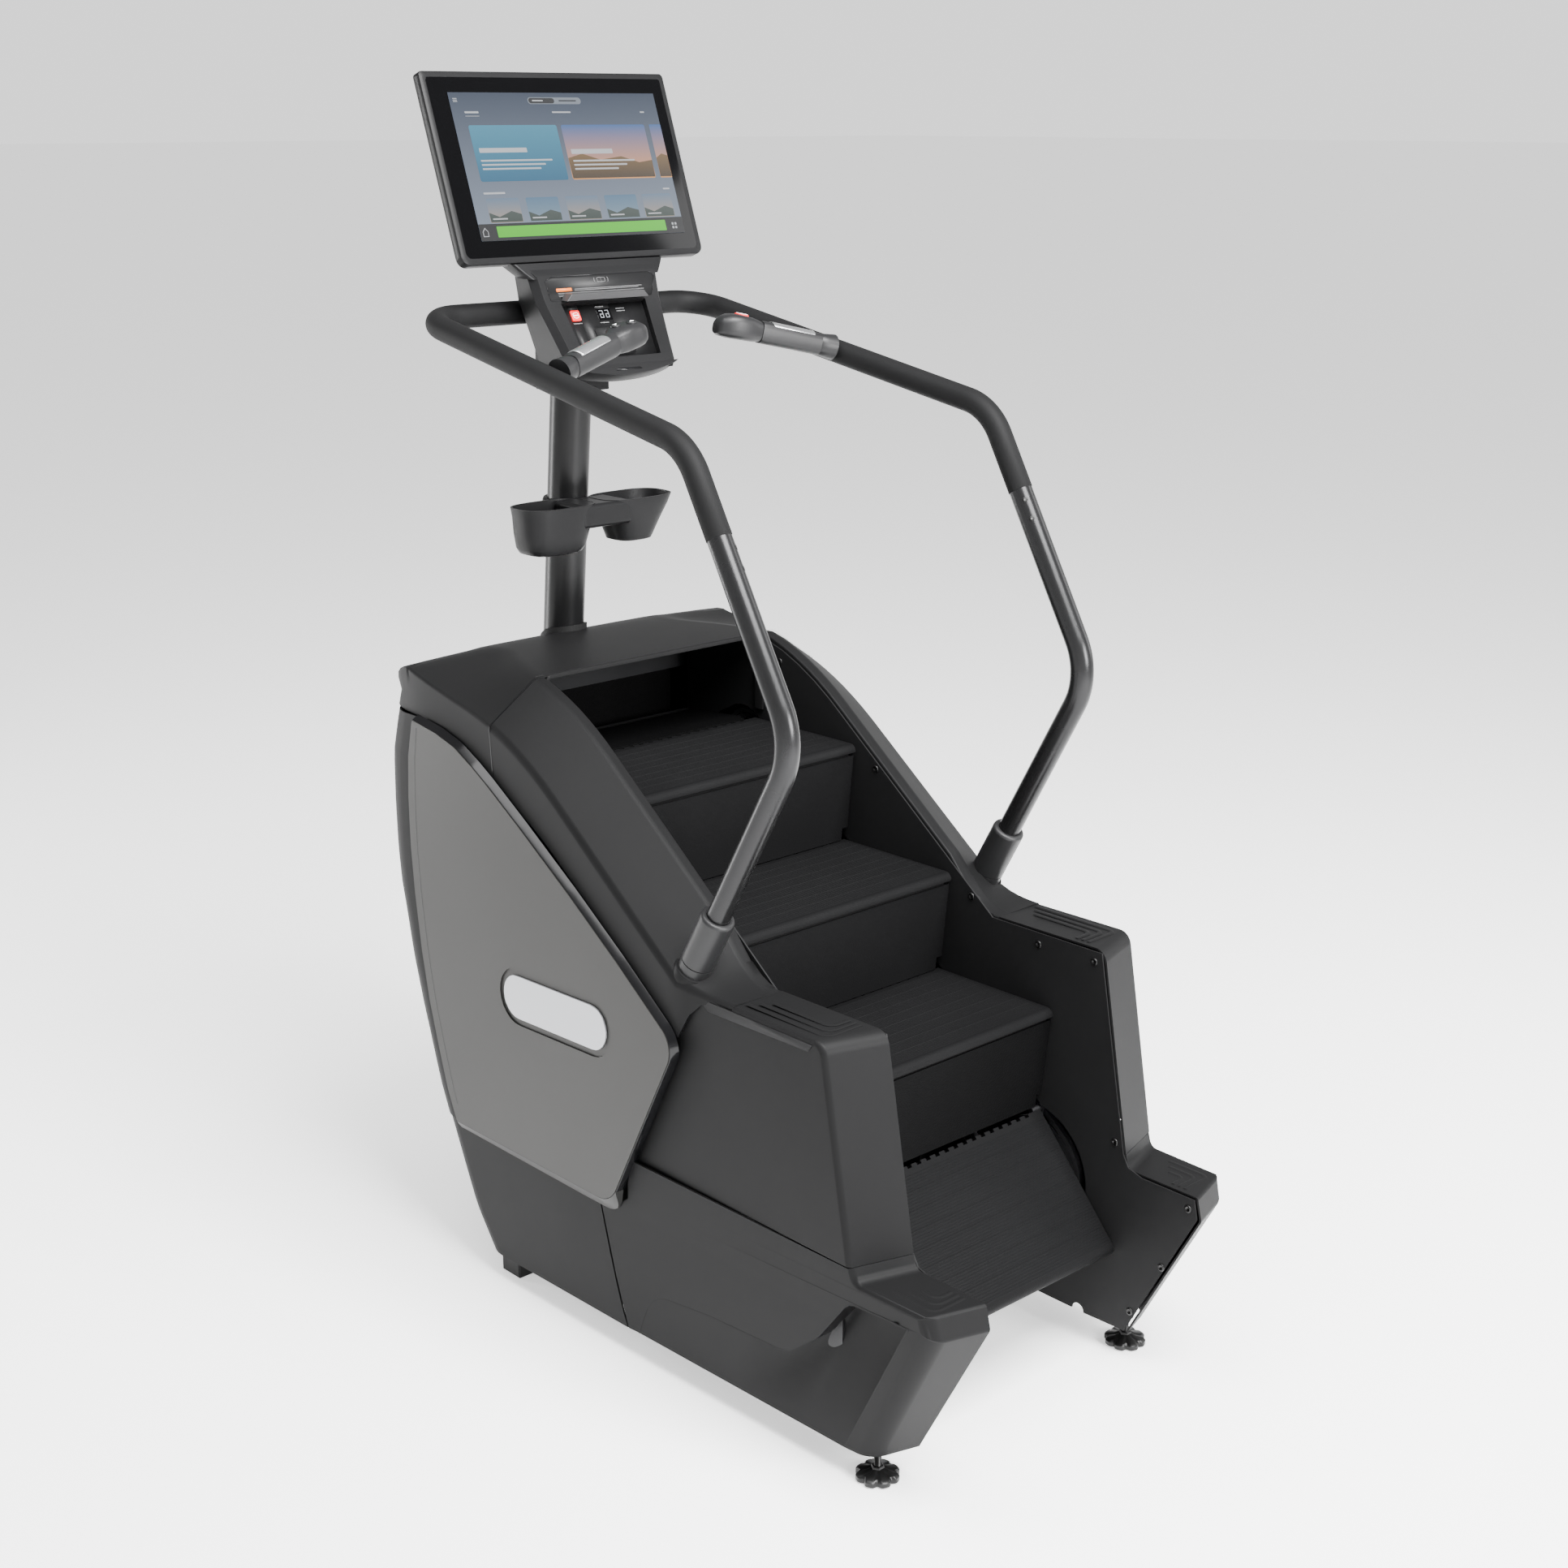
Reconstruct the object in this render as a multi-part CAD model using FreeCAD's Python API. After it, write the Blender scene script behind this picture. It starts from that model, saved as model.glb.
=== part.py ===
import FreeCAD, Part
import math
import os

os.makedirs("parts", exist_ok=True)
Vector = FreeCAD.Vector

# ---------------------------------------------------------------------------
# Driving dimensions, millimetres.  X is across the machine, -Y is the side the
# user steps on from, +Y is the console side, Z is up.  The origin is on the
# floor under the middle of the machine.
# ---------------------------------------------------------------------------
STEP_RISE = 190.8
STEP_RUN = 252.1
STEP_COUNT = 8
TOP_AXLE = (400.1, 989.2)
TREAD_LINK = 272.3
RISER_LINK = 193.6
LOWER_TURN_R = 100.0
UPPER_TURN_R = 56.0
LOWER_TANGENT_PAST_AXLE = 64.0
TREAD_HALF_WIDTH = 256.5

SKIRT_X = 261.0
SKIRT_T = 3.0
WELL_X = 264.6
COLUMN_X = 375.0
CREASE_X = 390.0
PANEL_X = 402.0
WALL = 4.0

INCLINE_SLOPE = STEP_RISE / STEP_RUN
DECK_Z = 757.0
SEAM_Z = 396.0
PAD_Z = 371.0
BODY_BOTTOM_Z = 54.0
HOOD_LIP_Y = 377.0
HOOD_LIP_Z = 1168.0

SLEEVE_R = 21.5
TUBE_R = 20.5
SOCKET_R = 29.5
MAST_R = 39.0
MAST_FOOT = Vector(0, 676.0, 1108.0)
MAST_HEAD = Vector(0, 622.0, 1690.0)

DISPLAY_W = 554.0
DISPLAY_H = 349.0
DISPLAY_T = 30.0
DISPLAY_FOOT = (562.5, 1880.7)
DISPLAY_TILT = 19.5

FOOT_X = 315.8
FOOT_Y = -535.7
FOOT_R = 37.5


# ---------------------------------------------------------------------------
# Small helpers
# ---------------------------------------------------------------------------
def box(x0, x1, y0, y1, z0, z1):
    return Part.makeBox(x1 - x0, y1 - y0, z1 - z0, Vector(x0, y0, z0))


def cylinder(start, end, radius):
    axis = end - start
    return Part.makeCylinder(radius, axis.Length, start, axis)


def cross_cylinder(y, z, x0, x1, radius):
    return Part.makeCylinder(radius, x1 - x0, Vector(x0, y, z), Vector(1, 0, 0))


def mirrored(shape):
    return shape.mirror(Vector(0, 0, 0), Vector(1, 0, 0))


def both_sides(shape):
    return [shape, mirrored(shape)]


def side_prism(points, x0, x1):
    """Closed (y, z) outline swept across the machine from x0 to x1."""
    corners = [Vector(x0, y, z) for y, z in points]
    face = Part.Face(Part.makePolygon(corners + corners[:1]))
    return face.extrude(Vector(x1 - x0, 0, 0))


def rounded_outline(points, radii, steps=6):
    """Polygon whose corners are replaced by short arcs of the given radii."""
    out = []
    count = len(points)
    for i, (corner, radius) in enumerate(zip(points, radii)):
        if radius == 0:
            out.append(corner)
            continue
        cy, cz = corner
        before = points[i - 1]
        after = points[(i + 1) % count]
        la = math.hypot(before[0] - cy, before[1] - cz)
        lb = math.hypot(after[0] - cy, after[1] - cz)
        ua = ((before[0] - cy) / la, (before[1] - cz) / la)
        ub = ((after[0] - cy) / lb, (after[1] - cz) / lb)
        half = math.acos(max(-1.0, min(1.0, ua[0] * ub[0] + ua[1] * ub[1]))) / 2
        reach = min(radius / math.tan(half), 0.48 * la, 0.48 * lb)
        true_radius = reach * math.tan(half)
        mid = (ua[0] + ub[0], ua[1] + ub[1])
        length = math.hypot(*mid)
        centre_gap = true_radius / math.sin(half)
        centre = (cy + mid[0] / length * centre_gap, cz + mid[1] / length * centre_gap)
        start = math.atan2(cz + ua[1] * reach - centre[1], cy + ua[0] * reach - centre[0])
        end = math.atan2(cz + ub[1] * reach - centre[1], cy + ub[0] * reach - centre[0])
        turn = (end - start + math.pi) % (2 * math.pi) - math.pi
        for k in range(steps + 1):
            angle = start + turn * k / steps
            out.append((centre[0] + true_radius * math.cos(angle),
                        centre[1] + true_radius * math.sin(angle)))
    return out


def loft(sections):
    """Solid through closed polygons with equal numbers of corners."""
    wires = [Part.makePolygon(list(s) + [s[0]]) for s in sections]
    return Part.makeLoft(wires, True, True)


def bent_tube(points, bend_radii, radius, bore=0.0):
    """Round tube along straight runs joined by tangent arcs."""
    edges = []
    cursor = points[0]
    for i in range(1, len(points) - 1):
        corner = points[i]
        back = (points[i - 1] - corner).normalize()
        ahead = (points[i + 1] - corner).normalize()
        half = back.getAngle(ahead) / 2
        reach = bend_radii[i - 1] / math.tan(half)
        start = corner + back * reach
        end = corner + ahead * reach
        mid_dir = (back + ahead).normalize()
        gap = bend_radii[i - 1] / math.sin(half)
        middle = corner + mid_dir * (gap - bend_radii[i - 1])
        edges.append(Part.LineSegment(cursor, start).toShape())
        edges.append(Part.Arc(start, middle, end).toShape())
        cursor = end
    edges.append(Part.LineSegment(cursor, points[-1]).toShape())
    path = Part.Wire(edges)
    direction = points[1] - points[0]
    outer = Part.Wire(Part.makeCircle(radius, points[0], direction))
    tube = path.makePipeShell([outer], True, False)
    if bore:
        inner = Part.Wire(Part.makeCircle(bore, points[0], direction))
        tube = tube.cut(path.makePipeShell([inner], True, False))
    return tube


def save(name, solids):
    pieces = solids if isinstance(solids, list) else [solids]
    pieces = [solid for piece in pieces for solid in piece.Solids]
    shape = pieces[0] if len(pieces) == 1 else Part.makeCompound(pieces)
    if not shape.isValid():
        print("invalid", name)
    shape.exportStep("parts/" + name + ".step")


# ---------------------------------------------------------------------------
# The step chain: a tapered loop round a lower and an upper turn.  A step's
# back axle rides on the loop; its nose hangs on the outside of it.
# ---------------------------------------------------------------------------
PITCH = math.hypot(STEP_RUN, STEP_RISE)
DOWN = (-STEP_RUN / PITCH, -STEP_RISE / PITCH)
OUTWARD = (-STEP_RISE / PITCH, STEP_RUN / PITCH)


def turned(vector, angle):
    c = math.cos(angle)
    s = math.sin(angle)
    return (c * vector[0] - s * vector[1], s * vector[0] + c * vector[1])


def along(start, direction, distance):
    return (start[0] + direction[0] * distance, start[1] + direction[1] * distance)


def loop_geometry():
    """Straight length, taper angle and the two turn centres of the loop."""
    straight = 3 * PITCH
    taper = 0.0
    for _ in range(30):
        taper = math.atan((LOWER_TURN_R - UPPER_TURN_R) / straight)
        arcs = math.pi * (LOWER_TURN_R + UPPER_TURN_R)
        extra = 2 * taper * (LOWER_TURN_R - UPPER_TURN_R)
        straight = (STEP_COUNT * PITCH - arcs - extra) / 2
    lower_tangent = along(TOP_AXLE, DOWN, 3 * PITCH + LOWER_TANGENT_PAST_AXLE)
    upper_tangent = along(lower_tangent, DOWN, -straight)
    lower_centre = along(lower_tangent, OUTWARD, -LOWER_TURN_R)
    upper_centre = along(upper_tangent, OUTWARD, -UPPER_TURN_R)
    return straight, taper, lower_centre, upper_centre


STRAIGHT, TAPER, LOWER_CENTRE, UPPER_CENTRE = loop_geometry()
HALF_TURN = math.pi + 2 * TAPER


def loop_point(distance, offset=0.0):
    """Point at a distance down the loop from the top of the front straight."""
    distance %= STEP_COUNT * PITCH
    lower_arc = LOWER_TURN_R * HALF_TURN
    if distance < STRAIGHT:
        start = along(UPPER_CENTRE, OUTWARD, UPPER_TURN_R + offset)
        return along(start, DOWN, distance)
    distance -= STRAIGHT
    if distance < lower_arc:
        outward = turned(OUTWARD, distance / LOWER_TURN_R)
        return along(LOWER_CENTRE, outward, LOWER_TURN_R + offset)
    distance -= lower_arc
    outward = turned(OUTWARD, HALF_TURN)
    if distance < STRAIGHT:
        start = along(LOWER_CENTRE, outward, LOWER_TURN_R + offset)
        return along(start, turned(DOWN, HALF_TURN), distance)
    distance -= STRAIGHT
    outward = turned(OUTWARD, HALF_TURN + distance / UPPER_TURN_R)
    return along(UPPER_CENTRE, outward, UPPER_TURN_R + offset)


FIRST_AXLE_DISTANCE = (math.hypot(TOP_AXLE[0] - loop_point(0)[0],
                                  TOP_AXLE[1] - loop_point(0)[1]))


def axle(k):
    """Back axle of step k; step 1 is the top visible one, step 0 is above it."""
    return loop_point(FIRST_AXLE_DISTANCE + (k - 1) * PITCH)


def nose(k):
    """Nose pin of step k, hung from its own axle and the next one."""
    a = axle(k)
    b = axle(k + 1)
    gap = math.hypot(b[0] - a[0], b[1] - a[1])
    ahead = ((b[0] - a[0]) / gap, (b[1] - a[1]) / gap)
    out = (ahead[1], -ahead[0])
    run = (TREAD_LINK ** 2 - RISER_LINK ** 2 + gap ** 2) / (2 * gap)
    lift = math.sqrt(TREAD_LINK ** 2 - run ** 2)
    return along(along(a, ahead, run), out, lift)


def local_outline(origin, target, points):
    """Map (along, outside) coordinates of a link to (y, z)."""
    length = math.hypot(target[0] - origin[0], target[1] - origin[1])
    ahead = ((target[0] - origin[0]) / length, (target[1] - origin[1]) / length)
    out = (ahead[1], -ahead[0])
    return [along(along(origin, ahead, u), out, w) for u, w in points]


def arc_points(cu, cw, radius, start, end, steps=6):
    angles = [math.radians(start + (end - start) * k / steps) for k in range(steps + 1)]
    return [(cu + radius * math.cos(a), cw + radius * math.sin(a)) for a in angles]


def tread(k):
    """Folded tread: ribbed plate, rolled nose, rear comb and two end plates."""
    a = axle(k)
    n = nose(k)
    nose_u = TREAD_LINK
    plate = [(4, -9), (9, -9), (9, 6), (nose_u - 4, 6)]
    plate += arc_points(nose_u, -2, 8, 90, -8)
    plate += arc_points(nose_u, -2, 13, -8, 90)
    plate += [(4, 11)]
    body = side_prism(local_outline(a, n, plate), -TREAD_HALF_WIDTH, TREAD_HALF_WIDTH)
    cheek = [(-10, -8), (-10, 6), (9, 6), (60, 6), (50, -12), (8, -16)]
    for x0 in (-251.0, 246.0):
        body = body.fuse(side_prism(local_outline(a, n, cheek), x0, x0 + 5.0))
    body = body.cut(cross_cylinder(a[0], a[1], -260, 260, 6.6))
    tooth = local_outline(a, n, [(3, -10), (3, 12), (9.5, 12), (9.5, -10)])
    for i in range(-10, 10):
        body = body.cut(side_prism(tooth, i * 23.0 + 6.5, i * 23.0 + 16.5))
    return body.removeSplitter()


def riser(k):
    """Riser plate with a bead that rolls in the tread nose; step 7's is cut short."""
    n = nose(k)
    b = axle(k + 1)
    foot = RISER_LINK - (58.0 if k == 7 else 14.0)
    plate = local_outline(n, b, [(10, 9), (10, 3), (foot, 3), (foot, 9)])
    web = local_outline(n, b, [(3, 3), (3, -3), (14, 3.5), (14, 7), (8, 7)])
    body = side_prism(plate, -TREAD_HALF_WIDTH, TREAD_HALF_WIDTH)
    body = body.fuse(side_prism(web, -245.4, 245.4))
    body = body.fuse(cross_cylinder(n[0], n[1], -245.4, 245.4, 5.0))
    corner = local_outline(n, b, [(foot - 24, 0), (foot - 24, 12), (foot + 2, 12), (foot + 2, 0)])
    for x0 in (-260.0, 243.0):
        body = body.cut(side_prism(corner, x0, x0 + 17.0))
    return body.removeSplitter()


def axle_pins(indices):
    pins = []
    for k in indices:
        a = axle(k)
        pins += both_sides(cross_cylinder(a[0], a[1], 243.5, 268.4, 6.0))
    return pins


def loop_face(offset, x0, x1):
    """Solid slab filling the chain loop grown by an offset."""
    points = []
    lower_arc = LOWER_TURN_R * HALF_TURN
    upper_arc = STEP_COUNT * PITCH - 2 * STRAIGHT - lower_arc
    steps = 24
    for i in range(steps + 1):
        points.append(loop_point(STRAIGHT + lower_arc * i / steps * 0.99999, offset))
    for i in range(steps + 1):
        spot = 2 * STRAIGHT + lower_arc + upper_arc * i / steps * 0.99999
        points.append(loop_point(spot, offset))
    return side_prism(points, x0, x1)


def step_clearance(offset, x0, x1):
    """Loop slab widened where the pins of the turning steps swing outside the chain."""
    y, z = LOWER_CENTRE
    low_reach = distance_between(LOWER_CENTRE, axle(4)) + offset - 4.0
    slab = loop_face(offset, x0, x1).fuse(cross_cylinder(y, z, x0, x1, low_reach))
    y, z = upper_arc_centre()
    high_reach = distance_between((y, z), axle(0)) + offset - 4.0
    return slab.fuse(cross_cylinder(y, z, x0, x1, high_reach))


def step_chains():
    """Two roller chains, as closed bands."""
    band = loop_face(5.0, 271.0, 281.0).cut(loop_face(-5.0, 270.0, 282.0))
    return both_sides(band)


def sprocket(centre, radius, hub_end):
    """Toothed disc on a stub shaft."""
    disc = cross_cylinder(centre[0], centre[1], 272.0, 280.0, radius - 6.5)
    holes = 6
    for i in range(holes):
        out = turned((0.0, 1.0), i * 2 * math.pi / holes)
        spot = along(centre, out, radius * 0.58)
        disc = disc.cut(cross_cylinder(spot[0], spot[1], 271.0, 281.0, radius * 0.16))
    hub = cross_cylinder(centre[0], centre[1], 270.5, hub_end, 11.0)
    return disc.fuse(hub)


def carrier(centre, target, radius):
    """Chain attachment link with the axle pin of one step."""
    plate = local_outline(centre, target, [(-16, -12), (-16, 12), (radius + 9, 9), (radius + 9, -9)])
    arm = side_prism(plate, 266.0, 269.0)
    arm = arm.fuse(cross_cylinder(target[0], target[1], 243.5, 269.0, 6.0))
    return arm


def distance_between(a, b):
    return math.hypot(a[0] - b[0], a[1] - b[1])


UPPER_ARC_BULGE = 60.0


def upper_arc_centre():
    """Centre of the arc on which the top step's axle goes round the upper turn."""
    a = axle(0)
    b = axle(1)
    chord = distance_between(a, b)
    side = ((b[1] - a[1]) / chord, -(b[0] - a[0]) / chord)
    return along(((a[0] + b[0]) / 2, (a[1] + b[1]) / 2), side, UPPER_ARC_BULGE)


# ---------------------------------------------------------------------------
# Frame
# ---------------------------------------------------------------------------
def hollow_bar(x0, x1, y0, y1, z0, z1, axis):
    outer = box(x0, x1, y0, y1, z0, z1)
    t = 3.0
    if axis == "x":
        return outer.cut(box(x0, x1, y0 + t, y1 - t, z0 + t, z1 - t))
    if axis == "y":
        return outer.cut(box(x0 + t, x1 - t, y0, y1, z0 + t, z1 - t))
    return outer.cut(box(x0 + t, x1 - t, y0 + t, y1 - t, z0, z1))


BASE_TOP = 100.0
RAIL_IN = 296.0
RAIL_OUT = 336.0
CROSS_BARS_Y = (-60.0, 230.0, 412.0)


def base_frame():
    """Two long floor rails joined by three cross bars, with nuts for the feet."""
    rail = hollow_bar(RAIL_IN, RAIL_OUT, -548.0, 452.0, 60.0, BASE_TOP, "y")
    rail = rail.cut(box(326.0, 340.0, -560.0, -530.0, 50.0, 110.0))
    frame = rail.fuse(mirrored(rail))
    for y0 in CROSS_BARS_Y:
        frame = frame.fuse(hollow_bar(-RAIL_IN, RAIL_IN, y0, y0 + 40.0, 60.0, BASE_TOP, "x"))
    for x in (-FOOT_X, FOOT_X):
        boss = Part.makeCylinder(14.0, 20.0, Vector(x, FOOT_Y, 52.0))
        bore = Part.makeCylinder(6.6, 60.0, Vector(x, FOOT_Y, 50.0))
        frame = frame.fuse(boss).cut(bore)
    return frame


def upright_frame():
    """Side posts, sloping stringer tubes, bearing plates and the mast beam."""
    side = box(298.0, 334.0, 340.0, 380.0, BASE_TOP, 1098.0)
    side = side.fuse(box(298.0, 334.0, 600.0, 640.0, 700.0, 1098.0))
    side = side.fuse(box(298.0, 334.0, 340.0, 640.0, 700.0, 740.0))
    side = side.fuse(box(298.0, 334.0, 340.0, 640.0, 1058.0, 1098.0))
    low = (-452.0, 508.0)
    high = (341.0, 508.0 + 793.0 * INCLINE_SLOPE)
    brace = [low, high, (high[0], high[1] - 50.0), (low[0], low[1] - 50.0)]
    side = side.fuse(side_prism(brace, 298.0, 334.0))
    side = side.fuse(box(298.0, 334.0, -470.0, -430.0, BASE_TOP, 508.0))
    post_y = LOWER_CENTRE[0]
    side = side.fuse(box(298.0, 316.0, post_y - 30, post_y + 30, BASE_TOP, LOWER_CENTRE[1] + 35))
    upper = box(298.0, 316.0, UPPER_CENTRE[0] - 35, UPPER_CENTRE[0] + 35, 740.0, 1058.0)
    side = side.fuse(upper)
    for centre in (LOWER_CENTRE, UPPER_CENTRE, upper_arc_centre()):
        side = side.cut(cross_cylinder(centre[0], centre[1], 290.0, 320.0, 11.6))
    frame = side.fuse(mirrored(side))
    frame = frame.fuse(box(-334.0, 334.0, 634.0, 700.0, 1060.0, 1098.0))
    for hole in socket_holes(0.5):
        frame = frame.cut(hole)
    seat = cylinder(mast_point(1094.0), mast_point(1117.0), MAST_R + 4.0)
    seat = seat.cut(box(-60.0, 60.0, 600.0, 760.0, 1050.0, 1096.0))
    frame = frame.fuse(seat.cut(box(-60.0, 60.0, 706.0, 760.0, 1040.0, 1140.0)))
    return frame.cut(cylinder(MAST_FOOT, MAST_HEAD, MAST_R))


def levelling_foot(x, y):
    """Scalloped disc on a threaded stem."""
    disc = Part.makeCylinder(FOOT_R, 13.0, Vector(x, y, 0))
    disc = disc.makeChamfer(2.0, [e for e in disc.Edges if e.Closed])
    lobes = 8
    for i in range(lobes):
        angle = 2 * math.pi * (i + 0.5) / lobes
        spot = Vector(x + 42.5 * math.cos(angle), y + 42.5 * math.sin(angle), -1)
        disc = disc.cut(Part.makeCylinder(9.0, 16.0, spot))
    stem = Part.makeCylinder(6.0, 78.0, Vector(x, y, 10.0))
    nut = Part.makeCylinder(11.0, 8.0, Vector(x, y, 12.0))
    return disc.fuse(nut).fuse(stem)


def rear_feet():
    """Rubber blocks under the back ends of the floor rails."""
    block = box(300.0, 357.0, 392.0, 448.0, 0.0, 38.0)
    block = block.makeChamfer(3.0, block.Edges)
    stem = box(306.0, 330.0, 400.0, 440.0, 38.0, 59.5)
    return both_sides(block.fuse(stem))


# ---------------------------------------------------------------------------
# Drive and brake, hidden behind the right side panel and the rear cover
# ---------------------------------------------------------------------------
BRAKE_CENTRE = (250.0, 330.0)
DRIVE_PULLEY_R = 96.0
BRAKE_PULLEY_R = 28.0
BELT_X = 346.0
BELT_W = 18.0


def drive_sprockets():
    """Upper sprockets on stub shafts; the right one carries the big pulley."""
    right = sprocket(UPPER_CENTRE, UPPER_TURN_R, 364.0)
    y, z = UPPER_CENTRE
    pulley = cross_cylinder(y, z, BELT_X, BELT_X + BELT_W, DRIVE_PULLEY_R)
    for i in range(5):
        out = turned((0.0, 1.0), i * 2 * math.pi / 5)
        spot = along(UPPER_CENTRE, out, 56.0)
        pulley = pulley.cut(cross_cylinder(spot[0], spot[1], BELT_X - 1, BELT_X + 30, 22.0))
    left = mirrored(sprocket(UPPER_CENTRE, UPPER_TURN_R, 315.0))
    return [right.fuse(pulley), left]


def brake_pulley():
    y, z = BRAKE_CENTRE
    body = cross_cylinder(y, z, BELT_X, BELT_X + BELT_W, BRAKE_PULLEY_R)
    return body.fuse(cross_cylinder(y, z, 262.0, BELT_X + 1, 9.0))


def brake_unit():
    """Alternator body on a shelf, with a controller box beside it."""
    y, z = BRAKE_CENTRE
    drum = cross_cylinder(y, z, 120.0, 240.0, 78.0)
    drum = drum.fuse(cross_cylinder(y, z, 110.0, 250.0, 40.0))
    drum = drum.cut(cross_cylinder(y, z, 200.0, 260.0, 9.4))
    drum = drum.cut(cross_cylinder(y, z, 236.0, 260.0, 30.0))
    shelf = box(110.0, 250.0, y - 70, y + 70, z - 90, z - 70)
    leg = box(150.0, 210.0, y - 40, y + 40, BASE_TOP, z - 88)
    return drum.fuse(shelf).fuse(leg)


def pulley_belt():
    """Closed belt round the big and the small pulley, with running clearance."""
    a = UPPER_CENTRE
    b = BRAKE_CENTRE
    gap = distance_between(a, b)
    ahead = ((b[0] - a[0]) / gap, (b[1] - a[1]) / gap)
    lean = math.acos((DRIVE_PULLEY_R - BRAKE_PULLEY_R) / gap)

    def ring(clearance):
        points = []
        steps = 20
        base = math.atan2(ahead[1], ahead[0])
        for i in range(steps + 1):
            t = base + lean + (2 * math.pi - 2 * lean) * i / steps
            r = DRIVE_PULLEY_R + clearance
            points.append((a[0] + r * math.cos(t), a[1] + r * math.sin(t)))
        for i in range(steps + 1):
            t = base - lean + 2 * lean * i / steps
            r = BRAKE_PULLEY_R + clearance
            points.append((b[0] + r * math.cos(t), b[1] + r * math.sin(t)))
        return points

    outer = side_prism(ring(4.4), BELT_X + 1, BELT_X + BELT_W - 1)
    return outer.cut(side_prism(ring(0.9), BELT_X, BELT_X + BELT_W))


# ---------------------------------------------------------------------------
# Body covers.  All outlines are of the right side; the left is its mirror.
# ---------------------------------------------------------------------------
def well_edge_z(y):
    """Height of the inner edge of the stair well at y."""
    straight_end = 190.0
    z_end = 784.0 + INCLINE_SLOPE * (straight_end + 202.0)
    if y <= straight_end:
        return 784.0 + INCLINE_SLOPE * (y + 202.0)
    t = (y - straight_end) / (480.0 - straight_end)
    slope_run = INCLINE_SLOPE * (480.0 - straight_end)
    return z_end + slope_run * (t - t * t / 2) * 0.94


def crease_z(y):
    """Height of the outer crease of the stringer cover at y."""
    straight_end = 190.0
    z_end = 769.0 + 0.745 * (straight_end + 122.0)
    if y <= straight_end:
        return 769.0 + 0.745 * (y + 122.0)
    if y <= 430.0:
        t = (y - straight_end) / (430.0 - straight_end)
        return z_end + (430.0 - straight_end) * (0.745 * t - 0.2625 * t * t)
    z_knee = z_end + (430.0 - straight_end) * 0.4825
    return z_knee + 0.22 * (y - 430.0)


def facet_z(y):
    """Height of the lower edge of the steep outer facet at y."""
    drop = 108.0 + 0.02 * (y + 122.0)
    if y > 300.0:
        drop -= 0.19 * (y - 300.0)
    return crease_z(y) - drop


def stringer_section(y):
    """Closed cross section of the right stringer cover in the plane at y."""
    top = well_edge_z(y)
    crease = crease_z(y)
    low = facet_z(y)
    t = WALL
    return [Vector(WELL_X, y, top - 30), Vector(WELL_X, y, top - 4),
            Vector(WELL_X + 4, y, top), Vector(WELL_X + 22, y, top + 1),
            Vector(CREASE_X, y, crease), Vector(CREASE_X - 6, y, low),
            Vector(CREASE_X - 6 - t, y, low), Vector(CREASE_X - t - 1, y, crease - t),
            Vector(WELL_X + 22, y, top - 5), Vector(WELL_X + t, y, top - 7),
            Vector(WELL_X + t, y, top - 30)]


def stringer_cover():
    """Sloping side cover from the deck up to the hood seam."""
    rows = [-122.0, 30.0, 190.0, 235.0, 280.0, 325.0, HOOD_LIP_Y - 1.0]
    shell = loft([stringer_section(y) for y in rows])
    toe_top = well_edge_z(-122.0)
    toe = [(-247.0, DECK_Z - 6.0), (-122.5, toe_top), (-122.5, toe_top - 8), (-236.0, DECK_Z - 6.0)]
    slope = side_prism(toe, WELL_X, 372.0)
    outer_rest = side_prism([(-140.0, DECK_Z - 9), (-122.5, toe_top), (-250, toe_top + 60),
                             (-250, DECK_Z - 9)], 300.0, 380.0)
    slope = slope.cut(outer_rest)
    lip = side_prism([(-240, DECK_Z - 6), (-122.5, toe_top - 3), (-122.5, toe_top - 30),
                      (-200, DECK_Z - 6)], WELL_X, WELL_X + WALL)
    cover = shell.fuse(slope).fuse(lip)
    return cover.cut(socket_holes(0.6)[1]).cut(COLUMN_SOLID)


def column_line(z):
    """Front edge of the column at height z, at the stair well."""
    return -559.5 + (z - SEAM_Z) * (64.3 / 360.0)


def panel_front(z, gap=0.0):
    """Front lower edge of the side panel at height z, moved forward by a gap."""
    return -114.0 - (z - 614.0) * 0.512 - gap


def column_outline(inset):
    """Side outline of the column cover; inset shrinks it for the inner skin."""
    top = DECK_Z - inset
    low = SEAM_Z + 0.5
    overshoot = 1.0 if inset else 0.0
    crest = top if inset else DECK_Z + 4.0
    return [(column_line(low) + inset, low - overshoot),
            (column_line(top) + inset, top),
            (-246.0 - inset * 0.5, top - 3.0),
            (-123.5, crest),
            (-100.0 + inset, 706.0),
            (panel_front(655.0, 22.0) + inset, 655.0),
            (panel_front(614.0, 16.0) + inset, 614.0),
            (panel_front(low, 16.0) + inset, low - overshoot)]


def front_slant_cut(depth):
    """Wedge that sets the outer front corner of the column further back."""
    rows = []
    for z in (SEAM_Z - 20.0, DECK_Z + 30.0):
        y = column_line(z)
        rows.append([Vector(WELL_X - 2, y + depth, z), Vector(COLUMN_X + 30, y + depth + 34, z),
                     Vector(COLUMN_X + 30, y - 80, z), Vector(WELL_X - 2, y - 80, z)])
    return loft(rows)


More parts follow.
